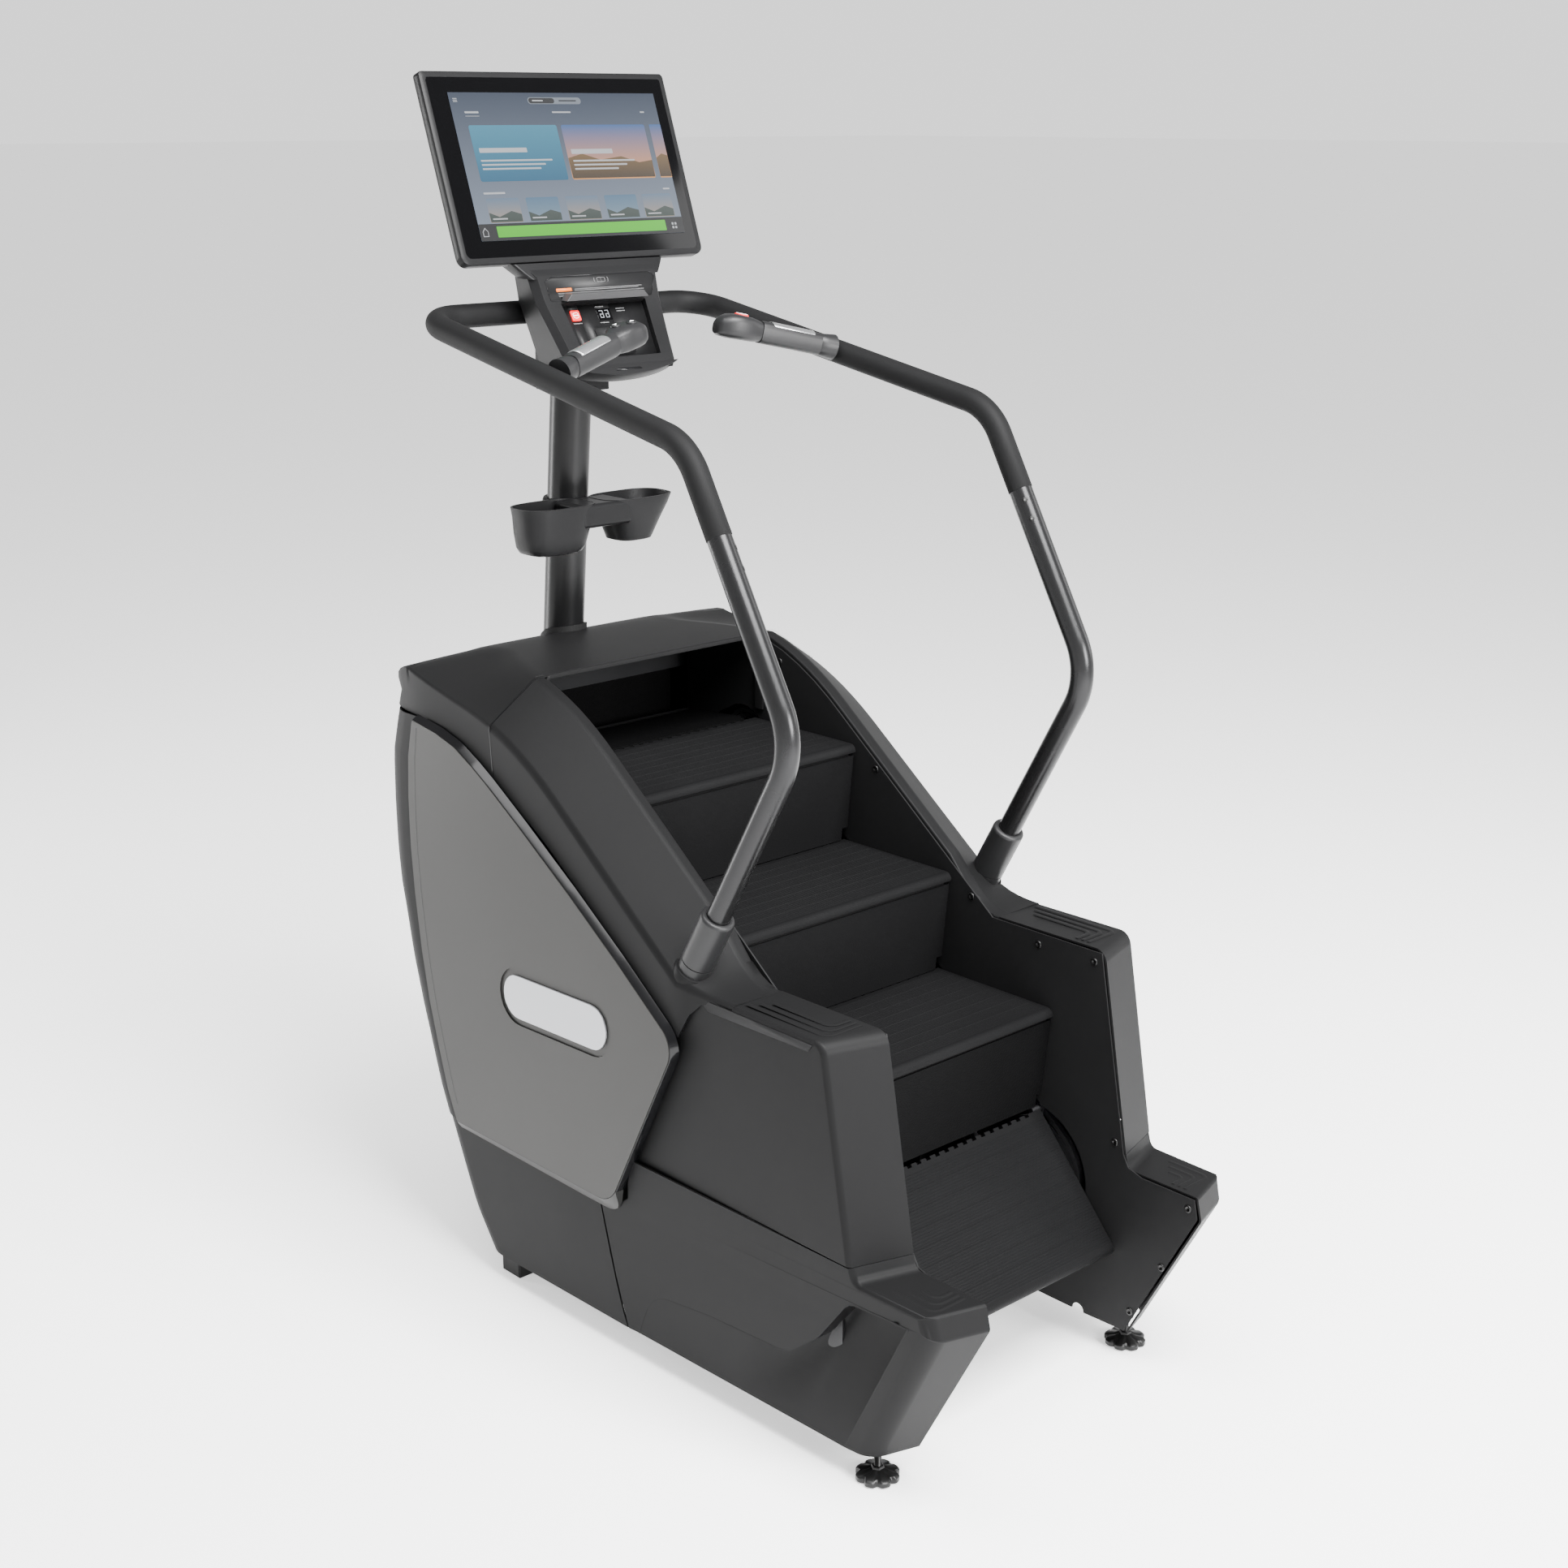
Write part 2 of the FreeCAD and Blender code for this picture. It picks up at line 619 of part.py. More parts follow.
def column_cover():
    """Column with a flat hand deck, open at the stair well and underneath."""
    corners = column_outline(0)
    radii = [0, 26, 60, 0, 0, 0, 0, 0]
    outer = side_prism(rounded_outline(corners, radii), WELL_X, COLUMN_X)
    outer = outer.cut(front_slant_cut(0))
    inner_corners = column_outline(WALL)
    inner = side_prism(rounded_outline(inner_corners, [0, 22, 60, 0, 0, 0, 0, 0]),
                       WELL_X + WALL, COLUMN_X - WALL)
    inner = inner.cut(front_slant_cut(WALL))
    shell = outer.cut(inner).cut(step_clearance(22.0, WELL_X - 2, 271.0))
    shell = shell.cut(box(296.0, 336.0, -142.0, -90.0, 690.0, 768.0))
    return shell.cut(socket_holes(0.6)[1])


PAD_FRONT_Y = -717.0
LEG_FRONT = (-580.0, 56.0)
COVER_SPLIT_LOW = (38.0, BODY_BOTTOM_Z)
COVER_SPLIT_HIGH = (100.0, 292.0)


def lower_outline(inset):
    """Side outline of the lower cover with its foot pad and leg."""
    i = inset
    open_by = 3.0 if i else -0.5
    return [(column_line(SEAM_Z) + i, SEAM_Z + open_by),
            (-567.0 + i, PAD_Z + 2.0 - i),
            (-600.0, PAD_Z - i),
            (PAD_FRONT_Y + i, PAD_Z - i),
            (-728.0 + i * 1.2, 330.0),
            (LEG_FRONT[0] + i * 1.2, LEG_FRONT[1] - (2 if i else 0)),
            (COVER_SPLIT_LOW[0] - 1 + i, BODY_BOTTOM_Z - (2 if i else 0)),
            (COVER_SPLIT_HIGH[0] - 1 + i, COVER_SPLIT_HIGH[1]),
            (47.0 + i, 293.0),
            (panel_front(350.0, 16.0) + i, 350.0),
            (panel_front(SEAM_Z, 16.0) + i, SEAM_Z + open_by)]


def taper_cut(extra):
    """Plan taper: the lower cover narrows towards the leg and the floor."""
    rows = []
    for z, front_x, rear_x in ((40.0, 346.0, 378.0), (SEAM_Z + 5.0, 368.5, 389.0)):
        f = front_x - extra
        r = rear_x - extra
        rows.append([Vector(f, -760, z), Vector(r, 140, z), Vector(430, 140, z), Vector(430, -760, z)])
    return loft(rows)


def corner_cut(extra):
    """Rounds the outer front corner of the pad and leg in plan."""
    rows = []
    for z, y in ((30.0, -566.0), (330.0, -725.0), (PAD_Z + 40.0, -719.0)):
        y += extra
        x = 368.0 - extra - (330.0 - z if z < 330.0 else 0.0) * 0.08
        rows.append([Vector(x - 46, y - 4, z), Vector(x - 24, y + 8, z), Vector(x - 8, y + 26, z),
                     Vector(x + 2, y + 52, z), Vector(x + 80, y + 52, z), Vector(x + 80, y - 60, z),
                     Vector(x - 46, y - 60, z)])
    return loft(rows)


def lower_cover():
    """Lower side cover: foot pad, leg and skirt in one moulding."""
    radii = [0, 22, 22, 8, 4, 6, 0, 0, 0, 0, 0]
    outer = side_prism(rounded_outline(lower_outline(0), radii), WELL_X, 396.0)
    outer = outer.cut(taper_cut(0)).cut(corner_cut(0))
    inner = side_prism(rounded_outline(lower_outline(WALL), radii), WELL_X + WALL, 396.0)
    inner = inner.cut(taper_cut(WALL)).cut(corner_cut(WALL))
    shell = outer.cut(inner)
    recess_outline = [(-330, 176), (-437, 252), (-480, 300), (-512, 322), (-611, 334), (-655, 318),
                      (-596, 193), (-520, 60), (-420, 60)]
    tool = side_prism(rounded_outline(recess_outline, [30, 40, 30, 30, 30, 12, 0, 0, 0]),
                      363.5, 400.0)
    floor = side_prism(rounded_outline(recess_outline, [30, 40, 30, 30, 30, 12, 0, 0, 0]),
                       355.0, 363.5)
    shell = shell.fuse(floor.common(outer)).cut(tool)
    bar_y = CROSS_BARS_Y[0]
    shell = shell.cut(box(WELL_X - 1, 275.0, bar_y - 3.0, bar_y + 43.0, 50.0, BASE_TOP + 3.0))
    return shell.cut(step_clearance(22.0, WELL_X - 2, 271.0))


def side_panel_outline(grow=0.0):
    """Outline of the big side panel; grow widens it on the free sides."""
    g = grow
    return [(604.0, 1072.0 + g), (530.0, 1062.0 + g), (472.0, 1047.0 + g), (418.0, 1021.0 + g),
            (375.0, 997.0 + g), (282.0, 940.0 + g), (146.0, 853.0 + g * 1.1), (15.0, 764.0 + g * 1.1),
            (-134.0 - g * 1.2, 655.0 + g * 0.3), (47.0 - g, 305.0 - g * 0.2), (514.0, 303.0 - g * 0.2),
            (540.0, 361.0), (563.0, 437.0), (588.0, 528.0), (606.0, 622.0), (620.0, 732.0),
            (627.0, 826.0), (627.0, 921.0), (621.0, 1001.0)]


PANEL_RADII = [6, 0, 0, 0, 0, 0, 0, 0, 46, 58, 6, 0, 0, 0, 0, 0, 0, 0, 0]


def side_panel():
    """Large side panel with a bevelled rim and a recess for the badge."""
    outline = rounded_outline(side_panel_outline(), PANEL_RADII, 8)
    plate = side_prism(outline, 393.0, PANEL_X)
    rim = side_prism(rounded_outline(side_panel_outline(), PANEL_RADII, 8), 386.5, 393.0)
    inner = [(y + (180.0 - y) * 0.03, z + (700.0 - z) * 0.03) for y, z in outline]
    rim = rim.cut(side_prism(inner, 386.0, 393.5))
    body = plate.fuse(rim)
    return body.cut(badge_shape(0.0, 12.0, PANEL_X - 3.0, PANEL_X + 2.0))


def badge_shape(shrink, grow, x0, x1):
    """Oblong outline of the badge, sloping down towards the back."""
    low = (88.0, 625.0)
    high = (302.0, 617.0)
    radius = 42.0 + grow - shrink
    points = []
    lean = math.atan2(high[1] - low[1], high[0] - low[0])
    steps = 12
    for i in range(steps + 1):
        t = lean - math.pi / 2 + math.pi * i / steps
        points.append((high[0] + radius * math.cos(t), high[1] + radius * math.sin(t)))
    for i in range(steps + 1):
        t = lean + math.pi / 2 + math.pi * i / steps
        points.append((low[0] + radius * math.cos(t), low[1] + radius * math.sin(t)))
    return side_prism(points, x0, x1)


def side_badges():
    return both_sides(badge_shape(1.0, 0.0, PANEL_X - 2.9, PANEL_X + 1.0))


def side_strip():
    """Dark inset strip that frames the side panel."""
    outer = rounded_outline(side_panel_outline(13.0), [6, 0, 0, 0, 0, 0, 0, 0, 56, 66] + [0] * 9, 8)
    inner = rounded_outline(side_panel_outline(-14.0), [6, 0, 0, 0, 0, 0, 0, 0, 40, 50] + [0] * 9, 8)
    band = side_prism(outer, 375.4, 379.4).cut(side_prism(inner, 375.0, 380.0))
    return band.cut(box(370, 400, 560, 700, 200, 1200)).cut(box(370, 400, 52, 700, 200, 420))


def inner_skirt():
    """Flat inner wall beside the steps, cut out along the chain loop."""
    rows = (480.0, 430.0, 377.0, 325.0, 280.0, 235.0, 190.0)
    edge = [(y, min(well_edge_z(y) - 8.0, HOOD_LIP_Z - 6.0)) for y in rows]
    outline = [(606.0, 1120.0), (520.0, 1150.0)] + edge
    outline += [(-236.0, DECK_Z - 7.0), (-490.0, DECK_Z - 6.0), (column_line(SEAM_Z) + 4, SEAM_Z),
                (-568.0, PAD_Z + 4), (-598.0, PAD_Z - 5), (-712.0, PAD_Z - 5), (-719.0, 331.0),
                (-574.0, 60.0), (-488.0, 57.0)]
    outline += arc_points(-468.0, 57.0, 14.0, 180, 0, 8)
    outline += [(-300.0, 57.0), (300.0, 57.0), (520.0, 400.0), (606.0, 760.0)]
    plate = side_prism(outline, SKIRT_X, SKIRT_X + SKIRT_T)
    plate = plate.cut(step_clearance(14.0, SKIRT_X - 5, SKIRT_X + 8))
    for y0 in CROSS_BARS_Y[:2]:
        plate = plate.cut(box(SKIRT_X - 1, WELL_X, y0 - 3.0, y0 + 43.0, 50.0, BASE_TOP + 3.0))
    y, z = BRAKE_CENTRE
    return plate.cut(cross_cylinder(y, z, SKIRT_X - 1, WELL_X, 12.0))


def hood_section(y, half_width, top, low, shrink, crease_drop):
    """Closed cross section of the hood shell: a wide, flat arch."""
    h = half_width - shrink
    t = top - shrink
    bottom = low
    inner_x = min(WELL_X + 24.0, h - 40.0)
    crease = top - crease_drop - shrink
    return [Vector(-h + 4, y, bottom), Vector(-h, y, crease), Vector(-inner_x, y, t - 3),
            Vector(-inner_x * 0.5, y, t), Vector(inner_x * 0.5, y, t), Vector(inner_x, y, t - 3),
            Vector(h, y, crease), Vector(h - 4, y, bottom)]


def hood_rise(y, top):
    """Height of the hood's middle over its side crease."""
    if y < 600.0:
        return max(8.0, min(top - crease_z(y), 70.0))
    return min(16.0, (top - 1076.0) / 2)


def hood_block(inset):
    """Filled hood; the inset one is the space inside it."""
    rows = [(HOOD_LIP_Y, 390.0, 1174.0, 1030.0), (430.0, 390.0, 1176.0, 1045.0),
            (500.0, 390.0, 1177.0, 1066.0), (570.0, 390.0, 1177.0, 1080.0),
            (625.0, 388.0, 1175.0, 1080.0), (668.0, 380.0, 1167.0, 1080.0),
            (700.0, 364.0, 1147.0, 1080.0), (718.0, 346.0, 1115.0, 1080.0),
            (725.0, 330.0, 1090.0, 1080.0)]

    if inset == 0:
        return loft([hood_section(y, h, top, low, 0.0, hood_rise(y, top)) for y, h, top, low in rows])
    return loft([hood_section(y - inset * 0.7, h, top, low - 3.0, inset, hood_rise(y, top))
                 for y, h, top, low in rows[:-1]])


def top_hood():
    """Hood over the top of the stairs, rolled down at the back."""
    hood = HOOD_OUTER.cut(hood_block(WALL + 1.0))
    well = side_prism([(300.0, 1000.0), (300.0, HOOD_LIP_Z), (385.0, HOOD_LIP_Z), (385.0, 1000.0)],
                      -WELL_X, WELL_X)
    hood = hood.cut(well)
    return hood.cut(cylinder(MAST_FOOT, MAST_HEAD, MAST_R + 1.0))


REAR_ROWS = [(305.0, 592.0), (400.0, 628.0), (500.0, 662.0), (600.0, 690.0), (681.0, 706.0),
             (742.0, 721.0), (806.0, 726.5), (900.0, 728.0), (980.0, 724.0), (1040.0, 717.0),
             (1078.0, 712.0)]


def seam_y(z):
    """Rear edge of the side panel at height z, where the rear cover starts."""
    table = [(303.0, 514.0), (361.0, 540.0), (437.0, 563.0), (528.0, 588.0), (622.0, 606.0),
             (732.0, 620.0), (826.0, 627.0), (921.0, 627.0), (1001.0, 621.0), (1080.0, 604.0)]
    for (z0, y0), (z1, y1) in zip(table, table[1:]):
        if z <= z1:
            return y0 + (y1 - y0) * (z - z0) / (z1 - z0)
    return table[-1][1]


def rear_section(z, start_y, rear_y, half_width, radius):
    """U-shaped plan section of a rear cover, wrapping both back corners."""
    outer = []
    inner = []
    for sign in (1, -1):
        arc_outer = []
        arc_inner = []
        steps = 6
        for i in range(steps + 1):
            t = math.pi / 2 * i / steps
            cx = half_width - radius
            cy = rear_y - radius
            arc_outer.append(Vector(sign * (cx + radius * math.cos(t)), cy + radius * math.sin(t), z))
            r = radius - WALL
            arc_inner.append(Vector(sign * (cx + r * math.cos(t)), cy + r * math.sin(t), z))
        start = [Vector(sign * half_width, start_y, z)]
        start_in = [Vector(sign * (half_width - WALL), start_y, z)]
        if sign == 1:
            outer += start + arc_outer
            inner += start_in + arc_inner
        else:
            outer += arc_outer[::-1] + start
            inner += arc_inner[::-1] + start_in
    return outer + inner[::-1]


def rear_cover():
    rows = []
    for z, rear_y in REAR_ROWS:
        radius = min(75.0, rear_y - seam_y(z) - 6.5)
        half_width = 400.0 if z < 1000.0 else 400.0 - (z - 1000.0) * 0.12
        rows.append(rear_section(z, seam_y(z) + 5.0, rear_y, half_width, radius))
    return loft(rows)


def rear_lower_cover():
    """Lower back cover, from the split of the lower side covers round the back."""
    rows = []
    for z, rear_y in ((BODY_BOTTOM_Z, 474.0), (130.0, 525.0), (220.0, 560.0), (301.0, 590.0)):
        share = (z - COVER_SPLIT_LOW[1]) / (COVER_SPLIT_HIGH[1] - COVER_SPLIT_LOW[1])
        start = COVER_SPLIT_LOW[0] + (COVER_SPLIT_HIGH[0] - COVER_SPLIT_LOW[0]) * share
        half_width = 382.0 + 8.0 * (z - BODY_BOTTOM_Z) / 250.0
        rows.append(rear_section(z, start, rear_y, half_width, 60.0))
    return loft(rows).cut(box(-30.5, 30.5, 490.0, 580.0, 109.5, 158.5))


def power_inlet():
    """Mains inlet socket low on the rear cover."""
    shell = box(-30.0, 30.0, 496.0, 520.0, 110.0, 158.0)
    shell = shell.cut(box(-24.0, 24.0, 502.0, 530.0, 118.0, 150.0))
    for x in (-14.0, 0.0, 14.0):
        shell = shell.fuse(box(x - 2.0, x + 2.0, 500.0, 514.0, 132.0, 138.0))
    return shell


def hood_liner():
    """Textured back wall behind the top of the stairs."""
    return box(-250.0, 250.0, 648.0, 654.0, 905.0, 1060.0)


# ---------------------------------------------------------------------------
# Handrail
# ---------------------------------------------------------------------------
def rail_points(sign):
    base = Vector(sign * 352.0, -118.0, 758.0)
    low_bend = Vector(sign * 346.6, -368.4, 1206.6)
    high_bend = Vector(sign * 347.4, -119.5, 1644.2)
    rear_bend = Vector(sign * 321.0, 633.0, 1787.0)
    return base, low_bend, high_bend, rear_bend


SLEEVE_START = 0.688
RAIL_BEND_LOW = 85.0
RAIL_BEND_HIGH = 110.0
RAIL_BEND_REAR = 75.0


def sleeve_start(sign):
    _, low_bend, high_bend, _ = rail_points(sign)
    return low_bend + (high_bend - low_bend) * SLEEVE_START


def handrail_tube(sign):
    """Bare tube from the socket, round the lower bend, up into the sleeve."""
    base, low_bend, high_bend, _ = rail_points(sign)
    start = base + (low_bend - base) * 0.10
    end = low_bend + (high_bend - low_bend) * (SLEEVE_START - 0.002)
    tube = bent_tube([start, low_bend, end], [RAIL_BEND_LOW], TUBE_R, TUBE_R - 2.5)
    for share in (0.645, 0.575):
        spot = low_bend + (high_bend - low_bend) * share
        tube = tube.cut(Part.makeCylinder(4.2, 30.0, spot, Vector(-sign, -0.9, 0.5)))
    return tube


def handrail_sleeve(sign):
    """Rubber-covered length from the joint to the middle of the back run."""
    start = sleeve_start(sign)
    _, _, high_bend, rear_bend = rail_points(sign)
    stop = Vector(sign * 0.2, 633.0, 1787.0)
    return bent_tube([start, high_bend, rear_bend, stop], [RAIL_BEND_HIGH, RAIL_BEND_REAR],
                     SLEEVE_R, SLEEVE_R - 4.0)


def socket_axis(sign):
    base, low_bend, _, _ = rail_points(sign)
    return base, (low_bend - base).normalize()


def socket_holes(clearance):
    """Holes through covers and frame for the left and right sockets."""
    holes = []
    for sign in (-1, 1):
        base, axis = socket_axis(sign)
        holes.append(cylinder(base - axis * 60.0, base + axis * 150.0, SOCKET_R + clearance))
    return holes


def rail_socket(sign):
    """Clamp socket that takes the foot of the handrail, with a rounded rim."""
    base, axis = socket_axis(sign)
    rim = base + axis * 150.0
    body = cylinder(base - axis * 16.0, rim, SOCKET_R)
    top_edges = [e for e in body.Edges if e.Closed and (e.CenterOfMass - rim).Length < 1.0]
    body = body.makeFillet(7.0, top_edges)
    groove_at = base + axis * 46.0
    ring = cylinder(groove_at, groove_at + axis * 2.0, SOCKET_R + 1)
    ring = ring.cut(cylinder(groove_at, groove_at + axis * 2.0, SOCKET_R - 1.5))
    bore = cylinder(base + axis * 20.0, rim + axis * 5.0, TUBE_R + 0.4)
    return body.cut(ring).cut(bore)


def grip_direction(sign):
    return Vector(-sign * 0.937, 0.27, 0.221)


def grip_frame(sign):
    start = Vector(sign * 318.0, 243.0, 1723.0)
    return start, grip_direction(sign).normalize()


def grip_arm(sign):
    """Oval stub from the rail that carries the contact plate and the switches."""
    start, axis = grip_frame(sign)
    bar = cylinder(start + axis * 8.0, start + axis * 158.0, 19.0)
    neck = Part.makeCone(24.0, 20.0, 26.0, start + axis * 2.0, axis)
    arm = bar.fuse(neck)
    sleeve_void = bent_tube([sleeve_start(sign), rail_points(sign)[2], rail_points(sign)[3],
                             Vector(sign * 200.0, 633.0, 1787.0)],
                            [RAIL_BEND_HIGH, RAIL_BEND_REAR], SLEEVE_R + 0.6)
    return arm.cut(sleeve_void)


def grip_up(sign):
    axis = grip_direction(sign).normalize()
    side = Vector(0, 0, 1).cross(axis).normalize()
    return axis.cross(side).normalize()


def grip_block(sign, start, length, half_width, low, high):
    """Box in the grip's own frame: along it, across it and up from its middle."""
    origin, axis = grip_frame(sign)
    up = grip_up(sign)
    side = axis.cross(up).normalize()
    corners = [(-half_width, low), (half_width, low), (half_width, high), (-half_width, high)]
    points = [origin + axis * start + side * s + up * u for s, u in corners]
    face = Part.Face(Part.makePolygon(points + points[:1]))
    return face.extrude(axis * length)


def contact_plate(sign):
    """Curved metal pulse plate on the top of a grip."""
    origin, axis = grip_frame(sign)
    a = origin + axis * 52.0
    b = origin + axis * 138.0
    skin = cylinder(a, b, 20.4).cut(cylinder(a, b, 19.0))
    return skin.common(grip_block(sign, 52.0, 86.0, 13.0, 8.0, 24.0))


def control_head(sign):
    """Switch head at the inner end of a grip."""
    start, axis = grip_frame(sign)
    up = grip_up(sign)
    side = axis.cross(up).normalize()
    origin = start + axis * 159.0
    profile = [(-24, -20), (24, -20), (30, 6), (22, 22), (-22, 22), (-30, 6)]
    small = [(-16, -16), (16, -16), (20, 4), (14, 14), (-14, 14), (-20, 4)]

    def ring(shape, distance):
        return [origin + axis * distance + side * s + up * u for s, u in shape]

    return loft([ring(small, 0), ring(profile, 20), ring(profile, 62), ring(small, 86)])


def head_button(sign, distance, sideways, radius):
    """Round key standing a little above the control head."""
    start, axis = grip_frame(sign)
    up = grip_up(sign)
    side = axis.cross(up).normalize()
    base = start + axis * (159.0 + distance) + side * sideways + up * 19.0
    return cylinder(base, base + up * 6.0, radius)


def button_pocket(sign, distance, sideways, radius):
    start, axis = grip_frame(sign)
    up = grip_up(sign)
    side = axis.cross(up).normalize()
    base = start + axis * (159.0 + distance) + side * sideways + up * 16.0
    return cylinder(base, base + up * 12.0, radius + 0.5)


# ---------------------------------------------------------------------------
# Mast, cup holder and console
# ---------------------------------------------------------------------------
def mast():
    tube = cylinder(MAST_FOOT, MAST_HEAD, MAST_R)
    return tube.cut(cylinder(MAST_FOOT, MAST_HEAD, MAST_R - 4.0))


def mast_point(z):
    share = (z - MAST_FOOT.z) / (MAST_HEAD.z - MAST_FOOT.z)
    return MAST_FOOT + (MAST_HEAD - MAST_FOOT) * share


def mast_gasket():
    """Rubber collar where the mast leaves the hood."""
    ring = cylinder(mast_point(1110.0), mast_point(1200.0), MAST_R + 6.0)
    ring = ring.cut(cylinder(MAST_FOOT, MAST_HEAD, MAST_R + 0.2))
    raised = HOOD_OUTER.copy()
    raised.translate(Vector(0, 0, 12.0))
    return ring.common(raised).cut(HOOD_OUTER)


def pocket_ring(x, y, z, rx, ry, count=20):
    return [Vector(x + rx * math.cos(2 * math.pi * i / count),
                   y + ry * math.sin(2 * math.pi * i / count), z) for i in range(count)]


CUP_TOP_Z = 1438.0
CUP_FLOOR_Z = 1348.0
CUP_X = 96.0
CUP_Y = 570.0


def cup_holder():
    """Twin-pocket holder clamped to the front of the mast."""
    body = None
    for sign in (-1, 1):
        outer = loft([pocket_ring(sign * (CUP_X - 12), CUP_Y + 4, CUP_FLOOR_Z, 44, 38),
                      pocket_ring(sign * (CUP_X - 8), CUP_Y + 2, CUP_FLOOR_Z + 14, 54, 46),
                      pocket_ring(sign * CUP_X, CUP_Y, CUP_TOP_Z, 80, 52)])
        body = outer if body is None else body.fuse(outer)
    bridge = box(-60.0, 60.0, 530.0, 600.0, 1386.0, 1432.0)
    body = body.fuse(bridge)
    for sign in (-1, 1):
        inner = loft([pocket_ring(sign * (CUP_X - 8), CUP_Y + 2, CUP_FLOOR_Z + 5, 42, 38),
                      pocket_ring(sign * (CUP_X - 4), CUP_Y + 1, CUP_FLOOR_Z + 18, 50, 43),
                      pocket_ring(sign * CUP_X, CUP_Y, CUP_TOP_Z + 2, 76, 48)])
        body = body.cut(inner)
        for offset in (-16.0, 16.0):
            spot = sign * (CUP_X - 10) + offset
            body = body.cut(box(spot - 3, spot + 3, CUP_Y - 22, CUP_Y + 22, 1340.0, 1360.0))
    clamp = cylinder(mast_point(1386.0), mast_point(1432.0), MAST_R + 9.0)
    body = body.fuse(clamp)
    return body.cut(cylinder(MAST_FOOT, MAST_HEAD, MAST_R + 0.4))


def tilted(points_yz):
    """Map (across, up, back) console coordinates to the machine frame."""
    c = math.cos(math.radians(DISPLAY_TILT))
    s = math.sin(math.radians(DISPLAY_TILT))
    y0, z0 = DISPLAY_FOOT
    return [Vector(x, y0 + up * s + back * c, z0 + up * c - back * s) for x, up, back in points_yz]


def display_slab(half_width, low, high, front, rear, radius):
    """Rounded rectangle slab in the tilted plane of the display."""
    outline = rounded_outline([(-half_width, low), (half_width, low), (half_width, high),
                               (-half_width, high)], [radius] * 4, 6)
    face = Part.Face(Part.makePolygon(tilted([(x, u, front) for x, u in outline + outline[:1]])))
    depth = tilted([(0, 0, rear)])[0] - tilted([(0, 0, front)])[0]
    return face.extrude(depth)


def display_block():
    """Display without its glass recess."""
    w = DISPLAY_W / 2
    slab = display_slab(w, 0.0, DISPLAY_H, 0.0, DISPLAY_T - 8.0, 16.0)
    back = display_slab(w - 14, 14.0, DISPLAY_H - 14, DISPLAY_T - 8.0, DISPLAY_T, 16.0)
    hub = display_slab(95.0, 40.0, 200.0, DISPLAY_T - 1, DISPLAY_T + 26.0, 14.0)
    return slab.fuse(back).fuse(hub)


def display_housing():
    pocket = display_slab(DISPLAY_W / 2 - 11, 10.0, DISPLAY_H - 9, -1.0, 4.0, 9.0)
    return display_block().cut(pocket)


def display_glass():
    w = DISPLAY_W / 2
    return display_slab(w - 11.4, 10.4, DISPLAY_H - 9.4, 0.4, 3.9, 8.6)


NECK_ROWS = [(1872.0, 556.0, 159.5), (1856.0, 539.0, 148.0), (1811.0, 523.0, 143.0),
             (1750.0, 487.0, 132.0), (1700.0, 457.0, 124.0), (1688.0, 455.0, 119.0)]


def console_neck():
    """Control panel between the mast and the display."""
    sections = []
    for z, y, half in NECK_ROWS:
        depth = 46.0 if z > 1840 else 58.0 + (1811.0 - z) * 0.30
        back = min(y + depth + 20.0, 604.0)
        sections.append([Vector(-half, y + 14, z), Vector(-half + 12, y, z), Vector(half - 12, y, z),
                         Vector(half, y + 14, z), Vector(half - 10, back, z),
                         Vector(-half + 10, back, z)])
    body = loft(sections)
    spine = side_prism([(575.0, 1640.0), (575.0, 1880.0), (612.0, 1985.0), (645.0, 1985.0),
                        (606.0, 1830.0), (604.0, 1760.0), (668.0, 1740.0), (668.0, 1640.0)],
                       -50.0, 50.0)
    body = body.fuse(spine)
    body = body.cut(cylinder(mast_point(1600.0), MAST_HEAD + Vector(0, 0, 0.5), MAST_R + 0.4))
    body = body.cut(display_block())
    body = body.cut(cylinder(Vector(-200, 633.0, 1787.0), Vector(200, 633.0, 1787.0),
                             SLEEVE_R + 0.6))
    for pocket in NECK_POCKETS:
        body = body.cut(pocket)
    return body


PANEL_RECESS = 12.0


def panel_point(across, up, out=0.0):
    """Point on the sunken lower control panel: up from its lower edge, out of it."""
    low = Vector(0, 457.0, 1700.0)
    high = Vector(0, 523.0, 1811.0)
    slope = (high - low).normalize()
    normal = Vector(0, -slope.z, slope.y)
    return low + Vector(across, 0, 0) + slope * up + normal * (out - PANEL_RECESS)


def panel_block(x0, x1, u0, u1, out0, out1):
    corners = [panel_point(x0, u0, out0), panel_point(x1, u0, out0),
               panel_point(x1, u1, out0), panel_point(x0, u1, out0)]
    face = Part.Face(Part.makePolygon(corners + corners[:1]))
    return face.extrude(panel_point(0, 0, out1) - panel_point(0, 0, out0))


STOP_BOX = (-76.5, -56.0, 95.0, 116.0)
LEVEL_BOX = (-16.0, 16.0, 94.0, 116.0)


def panel_sink():
    """Shallow tray that the lower control panel lies in, wider at the top."""
    corners = [panel_point(-87, 15), panel_point(87, 15), panel_point(97, 126), panel_point(-97, 126)]
    face = Part.Face(Part.makePolygon(corners + corners[:1]))
    return face.extrude(panel_point(0, 0, PANEL_RECESS + 12.0) - panel_point(0, 0))


def stop_button():
    x0, x1, u0, u1 = STOP_BOX
    return panel_block(x0, x1, u0, u1, -6.0, 3.0)


def level_display():
    x0, x1, u0, u1 = LEVEL_BOX
    return panel_block(x0, x1, u0, u1, -4.0, 1.0)


